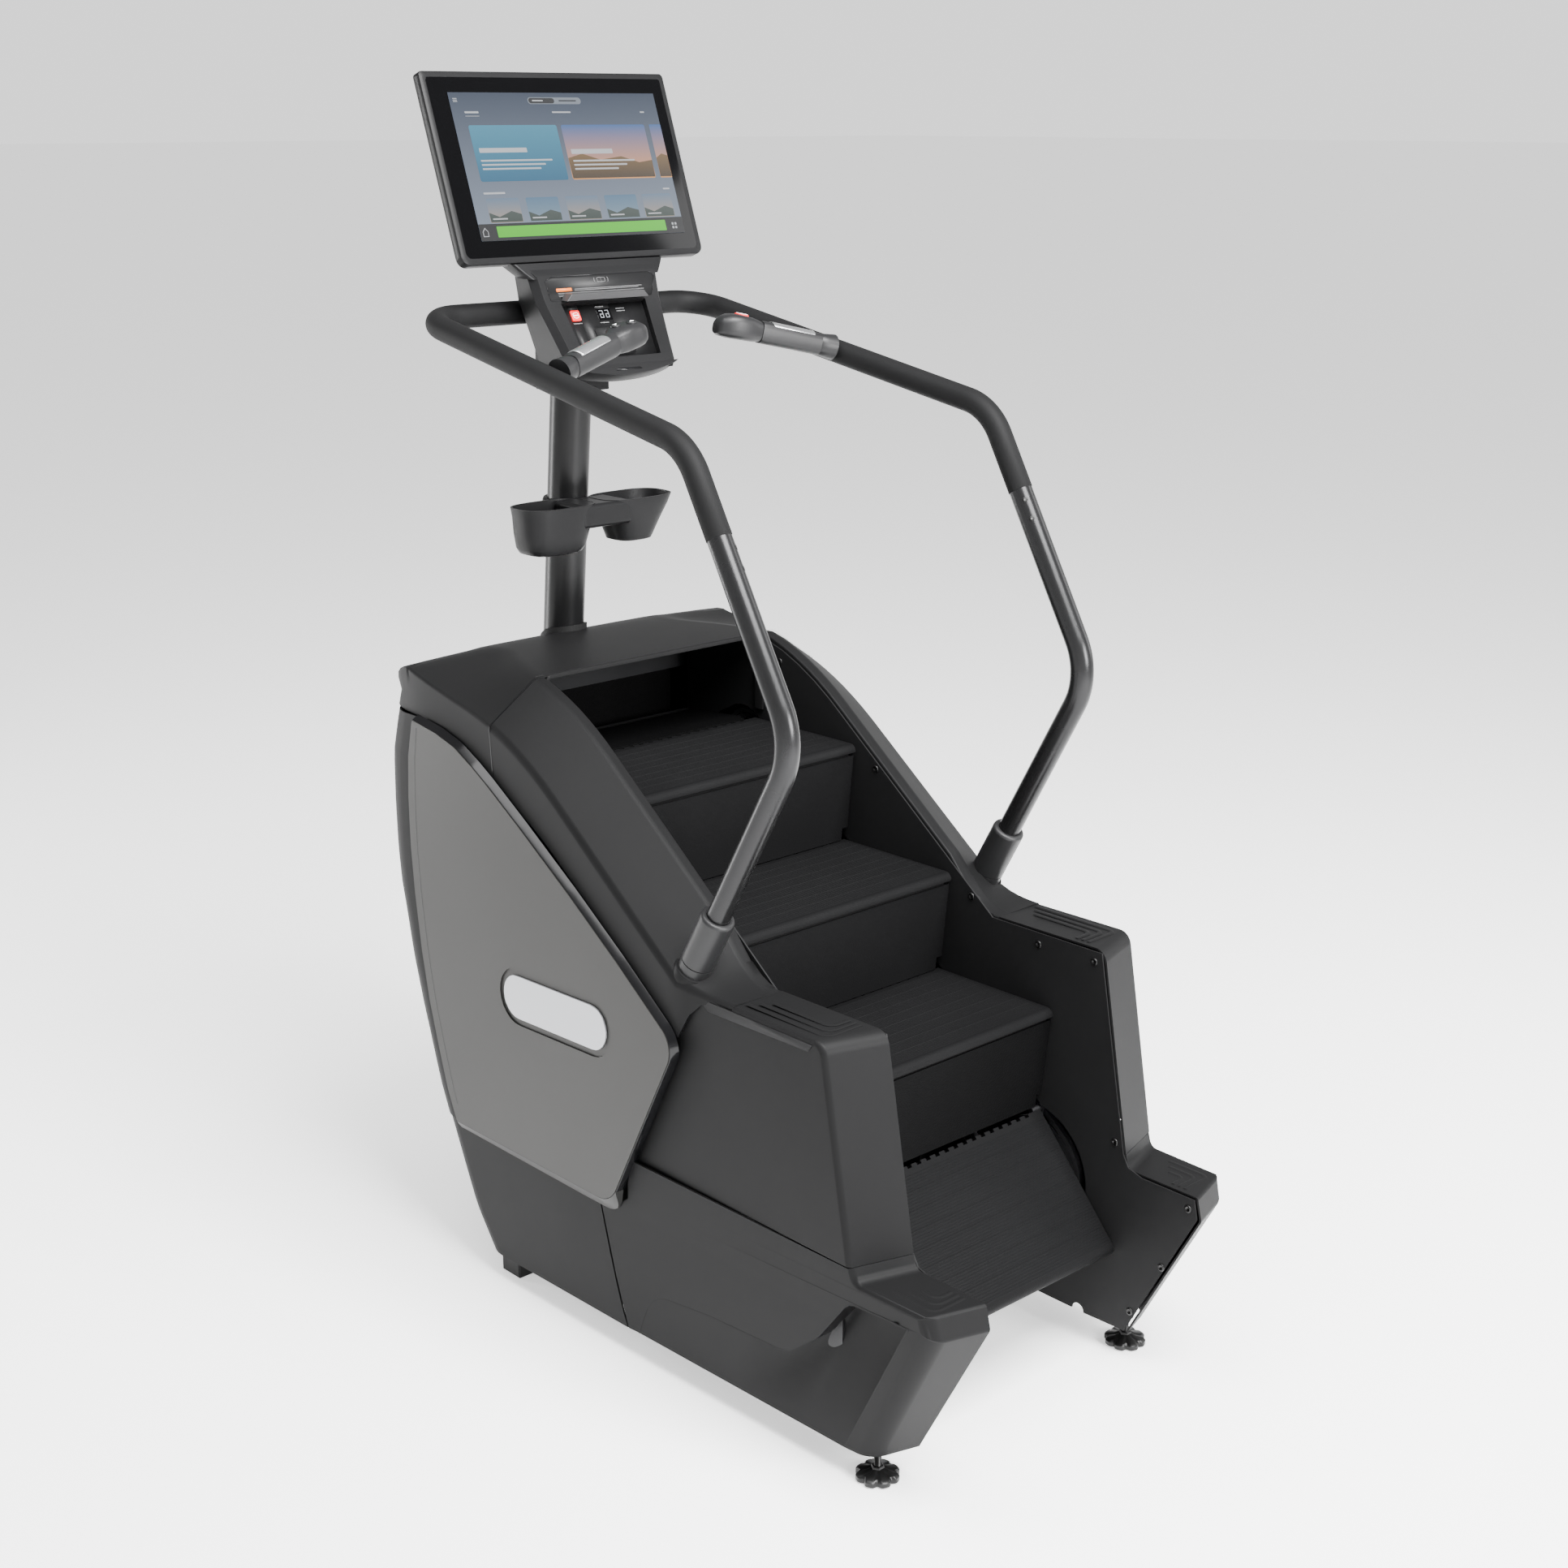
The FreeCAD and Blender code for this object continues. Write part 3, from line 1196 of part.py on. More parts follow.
def phone_ledge():
    """Bright lip that a phone or tablet stands on."""
    profile = [(-95, 0), (95, 0), (84, 12), (-84, 12)]
    corners = [Vector(x, 530.0, 1814.0 + u) for x, u in profile]
    face = Part.Face(Part.makePolygon(corners + corners[:1]))
    return face.extrude(Vector(0, -24.0, -1.0)).cut(NECK_SOLID)


NECK_POCKETS = [panel_sink(),
                panel_block(STOP_BOX[0] - 0.6, STOP_BOX[1] + 0.6, STOP_BOX[2] - 0.6,
                            STOP_BOX[3] + 0.6, -9.0, 5.0),
                panel_block(LEVEL_BOX[0] - 0.3, LEVEL_BOX[1] + 0.3, LEVEL_BOX[2] - 0.3,
                            LEVEL_BOX[3] + 0.3, -4.3, 5.0)]
HOOD_OUTER = hood_block(0.0)
COLUMN_SOLID = column_cover()
NECK_SOLID = console_neck()


# ---------------------------------------------------------------------------
# Write every piece
# ---------------------------------------------------------------------------
def write_steps():
    save("flight_steps", [tread(1), tread(2), riser(1), riser(2)])
    save("return_steps", [tread(5), tread(6), riser(5), riser(6)])
    for k in (0, 3, 4, 7):
        save("tread_%d" % k, tread(k))
        save("riser_%d" % k, riser(k))
    save("flight_axles", axle_pins((1, 2, 3)))
    save("return_axles", axle_pins((5, 6, 7)))


def write_drive():
    save("step_chains", step_chains())
    lower = sprocket(LOWER_CENTRE, LOWER_TURN_R, 315.0)
    arm = carrier(LOWER_CENTRE, axle(4), distance_between(LOWER_CENTRE, axle(4)))
    save("lower_sprockets", both_sides(lower.fuse(arm)))
    centre = upper_arc_centre()
    upper = carrier(centre, axle(0), distance_between(centre, axle(0)))
    upper = upper.fuse(cross_cylinder(centre[0], centre[1], 266.0, 269.0, 10.0))
    save("upper_carriers", both_sides(upper))
    save("drive_sprockets", drive_sprockets())
    save("brake_pulley", brake_pulley())
    save("brake_unit", brake_unit())
    save("drive_belt", pulley_belt())


def write_frame():
    save("base_frame", base_frame())
    save("upright_frame", upright_frame())
    save("front_foot_left", levelling_foot(-FOOT_X, FOOT_Y))
    save("front_foot_right", levelling_foot(FOOT_X, FOOT_Y))
    save("rear_feet", rear_feet())
    save("inner_skirts", both_sides(inner_skirt()))


def write_covers():
    for name, shape in (("side_panel", side_panel()), ("stringer_cover", stringer_cover()),
                        ("column_cover", COLUMN_SOLID), ("lower_cover", lower_cover())):
        save(name + "_right", shape)
        save(name + "_left", mirrored(shape))
    save("side_strips", both_sides(side_strip()))
    save("side_badges", side_badges())
    save("top_hood", top_hood())
    save("rear_cover", rear_cover())
    save("rear_lower_cover", rear_lower_cover())
    save("hood_liner", hood_liner())
    save("power_inlet", power_inlet())


def write_handrail():
    for side, sign in (("left", -1), ("right", 1)):
        save("handrail_sleeve_" + side, handrail_sleeve(sign))
    save("handrail_tubes", [handrail_tube(-1), handrail_tube(1)])
    save("rail_sockets", [rail_socket(-1), rail_socket(1)])
    save("grip_arms", [grip_arm(-1), grip_arm(1)])
    save("contact_plates", [contact_plate(-1), contact_plate(1)])
    left = control_head(-1)
    left = left.cut(button_pocket(-1, 30.0, -9.0, 9.0)).cut(button_pocket(-1, 52.0, 9.0, 9.0))
    right = control_head(1).cut(button_pocket(1, 40.0, 0.0, 13.0))
    save("control_heads", [left, right])
    save("faster_button", head_button(-1, 30.0, -9.0, 9.0))
    save("slower_button", head_button(-1, 52.0, 9.0, 9.0))
    save("pause_button", head_button(1, 40.0, 0.0, 13.0))


def write_console():
    save("mast", mast())
    save("mast_gasket", mast_gasket())
    save("cup_holder", cup_holder())
    save("console_neck", NECK_SOLID)
    save("phone_ledge", phone_ledge())
    save("stop_button", stop_button())
    save("level_display", level_display())
    save("display_housing", display_housing())
    save("display_glass", display_glass())


write_steps()
write_drive()
write_frame()
write_covers()
write_handrail()
write_console()
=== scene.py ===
import bpy
import bmesh
import math
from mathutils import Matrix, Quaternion, Vector
from mathutils.geometry import tessellate_polygon


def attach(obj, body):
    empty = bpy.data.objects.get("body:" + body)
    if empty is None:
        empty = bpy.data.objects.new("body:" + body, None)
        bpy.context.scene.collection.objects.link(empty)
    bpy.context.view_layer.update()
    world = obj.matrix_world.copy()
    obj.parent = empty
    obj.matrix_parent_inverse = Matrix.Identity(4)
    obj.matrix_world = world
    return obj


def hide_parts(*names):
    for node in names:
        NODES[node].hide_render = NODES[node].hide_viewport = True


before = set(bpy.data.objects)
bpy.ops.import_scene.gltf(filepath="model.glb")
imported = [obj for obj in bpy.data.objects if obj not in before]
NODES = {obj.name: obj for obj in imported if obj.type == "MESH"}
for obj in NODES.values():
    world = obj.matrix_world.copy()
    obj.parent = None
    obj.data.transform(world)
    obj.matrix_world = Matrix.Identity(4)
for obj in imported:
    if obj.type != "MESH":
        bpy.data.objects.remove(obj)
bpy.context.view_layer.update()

# ---- Shared dimensions, metres ----
SIDES = ((-1, "left"), (1, "right"))
WELL_X = 0.2646  # half width of the well the steps run in
LIP_X = 0.286  # outer edge of the rounded lip over the well
COLUMN_X = 0.375
CREASE_X = 0.39  # outer crease of the sloping covers
SLOPE = 0.7568  # rise over run of the flight
DECK_Z = 0.757  # hand deck
SEAM_Z = 0.396  # joint between column and lower cover
PAD_Z = 0.371  # foot pad
BOTTOM_Z = 0.054
HOOD_LIP_Y = 0.377
HOOD_Z = 1.1745
SKIN = 0.0035  # wall of the moulded covers
JOINT_GAP = 0.0004
SIDE_LEAN = 0.034  # how far the front faces sweep back at their outer edge
DISPLAY_W = 0.554
DISPLAY_H = 0.349
DISPLAY_FOOT = Vector((0, 0.5625, 1.8807))
DISPLAY_TILT = math.radians(19.5)
TREAD_LINK = 0.2723  # axle to nose of a tread
TREAD_HALF = 0.2565
SLEEVE_MEETING = (0.633, 1.787)  # where both handrail sleeves meet behind the console
HEAD_START = 0.159  # distance of the control head along its grip arm
SAME = 1e-6
FLAKE_SCALE = 1600.0
GRAIN_DEPTH = 0.0006


# ---- Mesh helpers ----
def new_object(name, verts, faces, smooth=True):
    mesh = bpy.data.meshes.new(name)
    mesh.from_pydata([tuple(v) for v in verts], [], faces)
    mesh.validate()
    bm = bmesh.new()
    bm.from_mesh(mesh)
    bmesh.ops.recalc_face_normals(bm, faces=bm.faces)
    bm.to_mesh(mesh)
    bm.free()
    for poly in mesh.polygons:
        poly.use_smooth = smooth
    obj = bpy.data.objects.new(name, mesh)
    bpy.context.scene.collection.objects.link(obj)
    return obj


def grid_faces(row_count, column_count, closed=False, start=0):
    faces = []
    last = column_count if closed else column_count - 1
    for r in range(row_count - 1):
        for c in range(last):
            d = (c + 1) % column_count
            a = start + r * column_count
            b = a + column_count
            faces.append((a + c, a + d, b + d, b + c))
    return faces


def loft(name, rings, caps=True, closed=True):
    """Skin through rings with equal point counts."""
    count = len(rings[0])
    verts = [p for ring in rings for p in ring]
    faces = grid_faces(len(rings), count, closed)
    if caps:
        faces.append(tuple(range(count))[::-1])
        faces.append(tuple(range(len(verts) - count, len(verts))))
    return new_object(name, verts, faces)


def bevel(obj, width, segments=3, angle=35, weighted=False, harden=True):
    mod = obj.modifiers.new("bevel", "BEVEL")
    mod.width = width
    mod.segments = segments
    mod.limit_method = "WEIGHT" if weighted else "ANGLE"
    mod.angle_limit = math.radians(angle)
    mod.harden_normals = harden
    mod.use_clamp_overlap = True
    return obj


def solidify(obj, thickness, offset=-1.0):
    mod = obj.modifiers.new("wall", "SOLIDIFY")
    mod.thickness = thickness
    mod.offset = offset
    return obj


def split_edges(obj, angle=32):
    mod = obj.modifiers.new("split", "EDGE_SPLIT")
    mod.split_angle = math.radians(angle)
    return obj


def weigh_edges(obj, rule):
    """Bevel weight for each edge from rule(a, b)."""
    mesh = obj.data
    layer = mesh.attributes.new("bevel_weight_edge", "FLOAT", "EDGE")
    for edge in mesh.edges:
        a, b = (mesh.vertices[i].co for i in edge.vertices)
        layer.data[edge.index].value = rule(a, b)


def flatten_normals(obj):
    mod = obj.modifiers.new("weigh", "WEIGHTED_NORMAL")
    mod.weight = 70
    mod.keep_sharp = True
    return obj


def finish_cad(name, width=0.0012, angle=40, segments=2):
    """Welds the facets of a CAD node in a modifier and rounds its edges."""
    obj = NODES[name]
    bpy.context.view_layer.objects.active = obj
    if obj.data.has_custom_normals:
        with bpy.context.temp_override(object=obj, active_object=obj):
            bpy.ops.mesh.customdata_custom_splitnormals_clear()
    for poly in obj.data.polygons:
        poly.use_smooth = True
    weld = obj.modifiers.new("weld", "WELD")
    weld.merge_threshold = 0.00002
    if width > 0:
        bevel(obj, width, segments, angle, harden=False)
    split_edges(obj, 34)
    flatten_normals(obj)
    return obj


def paint(obj, *materials):
    obj.data.materials.clear()
    for mat in materials:
        obj.data.materials.append(mat)
    return obj


def dress(obj, body, mat, slot, *replaced):
    """Hands the object to a body, painted with mat unless that is None, in place of the replaced nodes. The
    slot argument is not used.
    """
    if mat is not None:
        paint(obj, mat)
    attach(obj, body)
    if replaced:
        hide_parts(*replaced)
    return obj


def shell(obj, *replaced):
    return dress(obj, "frame", SHELL, "charcoal_shell", *replaced)


def trim(obj, *replaced):
    return dress(obj, "frame", GLOSS, "gloss_black", *replaced)


def join(name, objects):
    """One object from several plain meshes, with modifiers applied and materials kept."""
    depsgraph = bpy.context.evaluated_depsgraph_get()
    bm = bmesh.new()
    materials = []
    for obj in objects:
        depsgraph.update()
        mesh = bpy.data.meshes.new_from_object(obj.evaluated_get(depsgraph))
        mesh.transform(obj.matrix_world)
        lookup = []
        for mat in mesh.materials:
            if mat not in materials:
                materials.append(mat)
            lookup.append(materials.index(mat))
        for poly in mesh.polygons:
            poly.material_index = lookup[poly.material_index] if lookup else 0
        bm.from_mesh(mesh)
        bpy.data.meshes.remove(mesh)
    mesh = bpy.data.meshes.new(name)
    bm.to_mesh(mesh)
    bm.free()
    for mat in materials:
        mesh.materials.append(mat)
    for obj in objects:
        bpy.data.objects.remove(obj)
    joined = bpy.data.objects.new(name, mesh)
    bpy.context.scene.collection.objects.link(joined)
    return joined


def block(name, low, high, width=0.002, segments=3):
    x0, y0, z0 = low
    x1, y1, z1 = high
    verts = [(x, y, z) for x in (x0, x1) for y in (y0, y1) for z in (z0, z1)]
    faces = [(0, 1, 3, 2), (4, 6, 7, 5), (0, 4, 5, 1), (2, 3, 7, 6), (0, 2, 6, 4), (1, 5, 7, 3)]
    return bevel(new_object(name, verts, faces), width, segments)


def lathe(name, profile, origin, axis, segments=48, scallop=0.0, lobes=0):
    """Turned piece: profile is (radius, height) along the axis."""
    axis = axis.normalized()
    turn = axis.to_track_quat("Z", "Y").to_matrix()
    rings = []
    for radius, height in profile:
        ring = []
        for i in range(segments):
            t = 2 * math.pi * i / segments
            r = radius * (1.0 - scallop * (0.5 + 0.5 * math.cos(lobes * t)) ** 3) if lobes else radius
            ring.append(origin + turn @ Vector((r * math.cos(t), r * math.sin(t), height)))
        rings.append(ring)
    return loft(name, rings)


def superoval(centre, u, v, ru, rv, power=2.6, count=40):
    ring = []
    for i in range(count):
        t = 2 * math.pi * i / count
        c = math.cos(t)
        s = math.sin(t)
        du = math.copysign(abs(c) ** (2 / power), c) * ru
        dv = math.copysign(abs(s) ** (2 / power), s) * rv
        ring.append(centre + u * du + v * dv)
    return ring


def rounded(points, radii, steps=6):
    """2-D polygon with arcs at its corners."""
    out = []
    n = len(points)
    for i, (corner, radius) in enumerate(zip(points, radii)):
        p = Vector(corner)
        if radius == 0:
            out.append(p)
            continue
        a = Vector(points[i - 1]) - p
        b = Vector(points[(i + 1) % n]) - p
        half = a.angle(b) / 2
        reach = min(radius / math.tan(half), 0.48 * a.length, 0.48 * b.length)
        r = reach * math.tan(half)
        centre = p + (a.normalized() + b.normalized()).normalized() * (r / math.sin(half))
        start = p + a.normalized() * reach - centre
        end = p + b.normalized() * reach - centre
        t0 = math.atan2(start.y, start.x)
        turn = (math.atan2(end.y, end.x) - t0 + math.pi) % (2 * math.pi) - math.pi
        for k in range(steps + 1):
            t = t0 + turn * k / steps
            out.append(centre + Vector((math.cos(t), math.sin(t))) * r)
    return out


def resample(path, step):
    """Evenly spaced points along a 2-D path."""
    out = [path[0].copy()]
    carry = 0.0
    for a, b in zip(path, path[1:]):
        length = (b - a).length
        reach = step - carry
        while reach < length:
            out.append(a.lerp(b, reach / length))
            reach += step
        carry = length - (reach - step)
    return out + [path[-1].copy()]


# ---- Materials ----
def feed(tree, node, inputs):
    """Sets each named input to its value, or links it to its output socket."""
    for name, value in inputs.items():
        if isinstance(value, bpy.types.NodeSocket):
            tree.links.new(value, node.inputs[name])
        else:
            node.inputs[name].default_value = value
    return node


def add_node(tree, kind, inputs=None):
    return feed(tree, tree.nodes.new("ShaderNode" + kind), inputs or {})


def add_ramp(tree, source, low, high, start=0.0, end=1.0):
    """Colour that runs from low to high as the source runs from start to end."""
    node = add_node(tree, "ValToRGB", {"Fac": source})
    for element, color, position in zip(node.color_ramp.elements, (low, high), (start, end)):
        element.color = (*color, 1)
        element.position = position
    return node.outputs["Color"]


def base_material(name):
    mat = bpy.data.materials.new(name)
    mat.use_nodes = True
    return mat, mat.node_tree, mat.node_tree.nodes["Principled BSDF"]


def moulded(name, color, rough, grain=900.0, bump=0.12, spread=0.12, metallic=0.0, speck=0.0,
            stretch=(1.0, 1.0, 1.0), cell=False, sheen=0.25):
    """Moulded plastic, rubber or coated metal with a fine surface grain."""
    mat, tree, shader = base_material(name)
    coords = add_node(tree, "TexCoord").outputs["Object"]
    place = add_node(tree, "Mapping", {"Vector": coords, "Scale": stretch}).outputs["Vector"]
    broad = add_node(tree, "TexNoise", {"Vector": place, "Scale": 5.0, "Detail": 4.0}).outputs["Fac"]
    tone = broad
    if speck > 0:
        flake = add_node(tree, "TexNoise", {"Vector": place, "Scale": FLAKE_SCALE}).outputs["Fac"]
        tone = add_node(tree, "Mix", {"Factor": speck, "A": broad, "B": flake}).outputs["Result"]
    low = [c * (1 - spread) for c in color]
    high = [min(1.0, c * (1 + spread)) for c in color]
    shine = {"Value": broad, "To Min": max(0.02, rough - 0.05), "To Max": min(1.0, rough + 0.06)}
    fine = add_node(tree, "TexVoronoi" if cell else "TexNoise", {"Vector": place, "Scale": grain})
    height = fine.outputs["Distance" if cell else "Fac"]
    relief = add_node(tree, "Bump", {"Strength": bump, "Distance": GRAIN_DEPTH, "Height": height})
    feed(tree, shader, {
        "Base Color": add_ramp(tree, tone, low, high, 0.3, 0.7), "Metallic": metallic,
        "Specular IOR Level": sheen, "Roughness": add_node(tree, "MapRange", shine).outputs["Result"],
        "Normal": relief.outputs["Normal"]})
    return mat


def glowing(name, low, high, strength=1.0, span=(1.9, 2.2)):
    """Lit screen area whose colour runs from low to high between two heights."""
    mat, tree, shader = base_material(name)
    coords = add_node(tree, "TexCoord").outputs["Object"]
    height = add_node(tree, "SeparateXYZ", {"Vector": coords}).outputs["Z"]
    share = add_node(tree, "MapRange", {"Value": height, "From Min": span[0], "From Max": span[1]})
    feed(tree, shader, {
        "Emission Color": add_ramp(tree, share.outputs["Result"], low, high), "Emission Strength": strength,
        "Base Color": (0.01, 0.01, 0.01, 1), "Roughness": 0.22, "Specular IOR Level": 0.15})
    return mat


SHELL = moulded("charcoal_shell", (0.0066, 0.0066, 0.0068), 0.46, 1100.0, 0.12, 0.05, sheen=0.06)
PANEL = moulded("graphite_panel", (0.032, 0.0315, 0.0303), 0.4, 1300.0, 0.08, 0.04, 0.5, 0.5, sheen=0.16)
# Copy of the panel paint with a slightly darker base colour for the down-facing bevel under the side panel:
# painted shade.
SHADED_STRIP = moulded("graphite_strip_shaded", (0.03, 0.03, 0.0292), 0.4, 1300.0, 0.08, 0.05, 0.2, 0.4, sheen=0.2)
INNER = moulded("inner_black", (0.0075, 0.0075, 0.0078), 0.55, 800.0, 0.25, 0.08, sheen=0.12)
GLOSS = moulded("gloss_black", (0.004, 0.004, 0.0045), 0.14, 400.0, 0.01, 0.05, sheen=0.25)
BADGE = moulded("badge_silver", (0.36, 0.365, 0.38), 0.3, 900.0, 0.03, 0.03, 0.7, 0.2, sheen=0.3)
TREAD = moulded("tread_plastic", (0.004, 0.004, 0.0042), 0.55, 420.0, 0.5, 0.08, cell=True, sheen=0.05)
RISER = moulded("riser_plastic", (0.0022, 0.0022, 0.0023), 0.55, 300.0, 0.85, 0.1, cell=True, sheen=0.03)
TUBE = moulded("satin_tube", (0.024, 0.024, 0.0246), 0.26, 1400.0, 0.05, 0.05, 0.75, 0.3, sheen=0.2)
SLEEVE = moulded("sleeve_rubber", (0.006, 0.006, 0.0062), 0.6, 700.0, 0.35, 0.06, sheen=0.08)
MAST = moulded("mast_paint", (0.004, 0.004, 0.0042), 0.3, 1300.0, 0.05, 0.05, 0.0, 0.2, sheen=0.22)
SOCKET = moulded("socket_paint", (0.012, 0.012, 0.0125), 0.4, 900.0, 0.12, 0.06, sheen=0.22)
GRIP = moulded("grip_plastic", (0.0085, 0.0085, 0.009), 0.4, 800.0, 0.2, 0.06, sheen=0.25)
STEEL = moulded("contact_steel", (0.5, 0.505, 0.515), 0.24, 500.0, 0.05, 0.03, 0.9, 0.1,
                stretch=(1.0, 8.0, 8.0), sheen=0.5)
CONSOLE = moulded("console_plastic", (0.0065, 0.0065, 0.0068), 0.38, 1200.0, 0.1, 0.05, sheen=0.1)
INSET = moulded("console_inset", (0.0068, 0.0068, 0.0071), 0.4, 1300.0, 0.08, 0.05, sheen=0.14)
KEY_GREY = moulded("key_grey", (0.009, 0.009, 0.0095), 0.36, 900.0, 0.05, 0.05)
KEY_RED = moulded("key_red", (0.6, 0.01, 0.012), 0.36, 900.0, 0.05, 0.04, sheen=0.3)
WHITE = moulded("print_white", (0.78, 0.78, 0.78), 0.45, 900.0, 0.02, 0.02)
LEDGE = moulded("ledge_bright", (0.032, 0.032, 0.033), 0.34, 900.0, 0.04, 0.04, 0.2, sheen=0.2)
PRINT = moulded("print_grey", (0.12, 0.12, 0.122), 0.45, 900.0, 0.02, 0.04)
ORANGE = moulded("tag_orange", (0.5, 0.11, 0.01), 0.4, 900.0, 0.02, 0.03)
GLASS = moulded("screen_glass", (0.0012, 0.0012, 0.0014), 0.05, 200.0, 0.0, 0.02, sheen=0.18)
STEEL_DARK = moulded("chain_steel", (0.1, 0.1, 0.105), 0.36, 600.0, 0.08, 0.1, 0.9)
ALLOY = moulded("pulley_alloy", (0.42, 0.43, 0.44), 0.34, 600.0, 0.06, 0.05, 0.9)
IRON = moulded("brake_iron", (0.03, 0.03, 0.032), 0.6, 300.0, 0.4, 0.1, 0.3)
RUBBER = moulded("black_rubber", (0.006, 0.006, 0.006), 0.6, 700.0, 0.3, 0.1, sheen=0.2)
FOOT = moulded("foot_plastic", (0.004, 0.004, 0.004), 0.34, 900.0, 0.1, 0.08, sheen=0.3)
SCREW = moulded("screw_black", (0.003, 0.003, 0.003), 0.3, 900.0, 0.05, 0.05, sheen=0.3)
FRAME_STEEL = moulded("frame_steel", (0.012, 0.012, 0.013), 0.5, 700.0, 0.2, 0.08, 0.2)


# ---- Body covers ----
def well_edge(y):
    """Height of the inner edge of the stringer at y."""
    end = 0.19
    if y <= end:
        return 0.784 + SLOPE * (y + 0.202)
    t = (y - end) / 0.29
    return 0.784 + SLOPE * (end + 0.202) + SLOPE * 0.29 * (t - t * t / 2) * 0.94


def crease(y):
    """Height of the outer crease of the stringer at y."""
    end = 0.19
    z_end = 0.769 + 0.745 * (end + 0.122)
    if y <= end:
        return 0.769 + 0.745 * (y + 0.122)
    if y <= 0.43:
        t = (y - end) / 0.24
        return z_end + 0.24 * (0.745 * t - 0.2625 * t * t)
    return z_end + 0.24 * 0.4825 + 0.22 * (y - 0.43)


def facet(y):
    drop = 0.108 + 0.02 * (y + 0.122)
    if y > 0.3:
        drop -= 0.19 * (y - 0.3)
    return crease(y) - drop


def stringer_row(y):
    top = well_edge(y)
    return [(WELL_X, y, top - 0.03), (WELL_X, y, top), (LIP_X, y, top + 0.001),
            (CREASE_X, y, crease(y)), (CREASE_X - 0.005, y, facet(y) + 0.007)]


def toe_row(y):
    """Rows in front of the socket, where the cover runs out into the deck."""
    share = (y + 0.25) / 0.126
    top = DECK_Z - 0.003 + max(0.0, well_edge(y) - DECK_Z + 0.003) * min(1.0, share * 1.1)
    outer = DECK_Z + (crease(-0.122) - DECK_Z) * max(0.0, share) ** 3
    x = COLUMN_X + (CREASE_X - COLUMN_X) * max(0.0, share) ** 2
    low = DECK_Z - 0.01 - (DECK_Z - 0.01 - facet(-0.122)) * max(0.0, share) ** 4
    return [(WELL_X, y, top - 0.03), (WELL_X, y, top), (LIP_X, y, top + 0.001 * share),
            (x, y, outer), (x - 0.003, y, low)]


def stringer(sign, side):
    """Sloping cover beside the steps, with a rounded lip and a crease along its wide facet."""
    rows = [toe_row(y) for y in (-0.25, -0.236, -0.22, -0.2, -0.175, -0.15)]
    y = -0.124
    while y < HOOD_LIP_Y - 0.012:
        rows.append(stringer_row(y))
        y += 0.025
    rows.append(stringer_row(HOOD_LIP_Y - 0.0012))
    rows = [[(sign * x, y, z) for x, y, z in row] for row in rows]
    obj = loft("stringer_skin_" + side, rows, caps=False, closed=False)

    def rule(a, b):
        if abs(a.y - b.y) < SAME:
            return 0.0
        x = max(abs(a.x), abs(b.x))
        if abs(x - WELL_X) < 1e-4 and max(a.z, b.z) > well_edge(max(a.y, b.y)) - 0.012:
            return 0.35
        for edge_x, weight in ((LIP_X, 0.6), (CREASE_X, 1.0)):
            if abs(x - edge_x) < 0.0155:
                return weight
        return 0.0

    weigh_edges(obj, rule)
    bevel(obj, 0.014, 4, weighted=True, harden=False)
    solidify(obj, SKIN)
    flatten_normals(split_edges(obj, 40))
    shell(obj, "stringer_cover_" + side)


def column_front(z):
    """Depth of the column's leaning front face at height z."""
    return -0.5595 + (z - SEAM_Z) * (0.0643 / 0.36)


def inset_outline(corners, radii, insets, share):
    """Open outline with each edge moved towards the body by its share of an inset.

    The body lies on the right of the outline's direction."""
    lines = []
    for a, b, inset in zip(corners, corners[1:], insets):
        d = (Vector(b) - Vector(a)).normalized()
        lines.append((Vector(a) + Vector((d.y, -d.x)) * inset * share, d))
    first, d = lines[0]
    points = [first + d * ((corners[0][1] - first.y) / d.y)]
    reduced = [0.0]
    for i, ((p, d), (q, e)) in enumerate(zip(lines, lines[1:])):
        cross = d.x * e.y - d.y * e.x
        gap = q - p
        points.append(p + d * ((gap.x * e.y - gap.y * e.x) / cross))
        mean = (insets[i] + insets[i + 1]) / 2 * share
        reduced.append(max(0.0015, radii[i + 1] + (mean if cross > 0 else -mean)))
    last, d = lines[-1]
    a, b = (Vector(c) for c in corners[-2:])
    points.append(last + d * (b - a).length)
    return rounded([tuple(p) for p in points], reduced + [0.0], 7)


def corner_widths(insets):
    """Rounding radius in x for every point of an inset outline."""
    widths = [insets[0]]
    for a, b in zip(insets, insets[1:]):
        widths += [a + (b - a) * k / 7 for k in range(8)]
    return widths + [insets[-1]]


def rounded_side(corners, radii, insets, x_out, steps=8):
    """Rows of a skin from the stair well outwards, rounded over at its outer edge."""
    widths = corner_widths(insets)
    rows = [[Vector((WELL_X, p.x, p.y)) for p in inset_outline(corners, radii, insets, 0.0)]]
    for k in range(steps + 1):
        t = math.pi / 2 * k / steps
        row = []
        for p, r in zip(inset_outline(corners, radii, insets, 1 - math.cos(t)), widths):
            x = x_out(p.x, p.y) - r * (1 - math.sin(t))
            reach = min(1.0, max(0.0, (-0.25 - p.x) / 0.22))
            shift = SIDE_LEAN * (x - WELL_X) / (COLUMN_X - WELL_X) * reach
            row.append(Vector((x, p.x + shift, p.y)))
        rows.append(row)
    return rows


def side_skin(name, rows, rest, sign):
    """Rounded rows closed by one flat side face that runs on through the rest points."""
    count = len(rows[0])
    verts = [p for row in rows for p in row] + rest
    faces = grid_faces(len(rows), count)
    first = len(verts) - len(rest) - count
    flat = [Vector((p.y, p.z, 0)) for p in verts[first:]]
    faces += [tuple(first + i for i in corner) for corner in tessellate_polygon([flat])]
    obj = new_object(name, [Vector((sign * p.x, p.y, p.z)) for p in verts], faces)
    flatten_normals(obj)
    solidify(obj, SKIN)
    return split_edges(obj, 34)


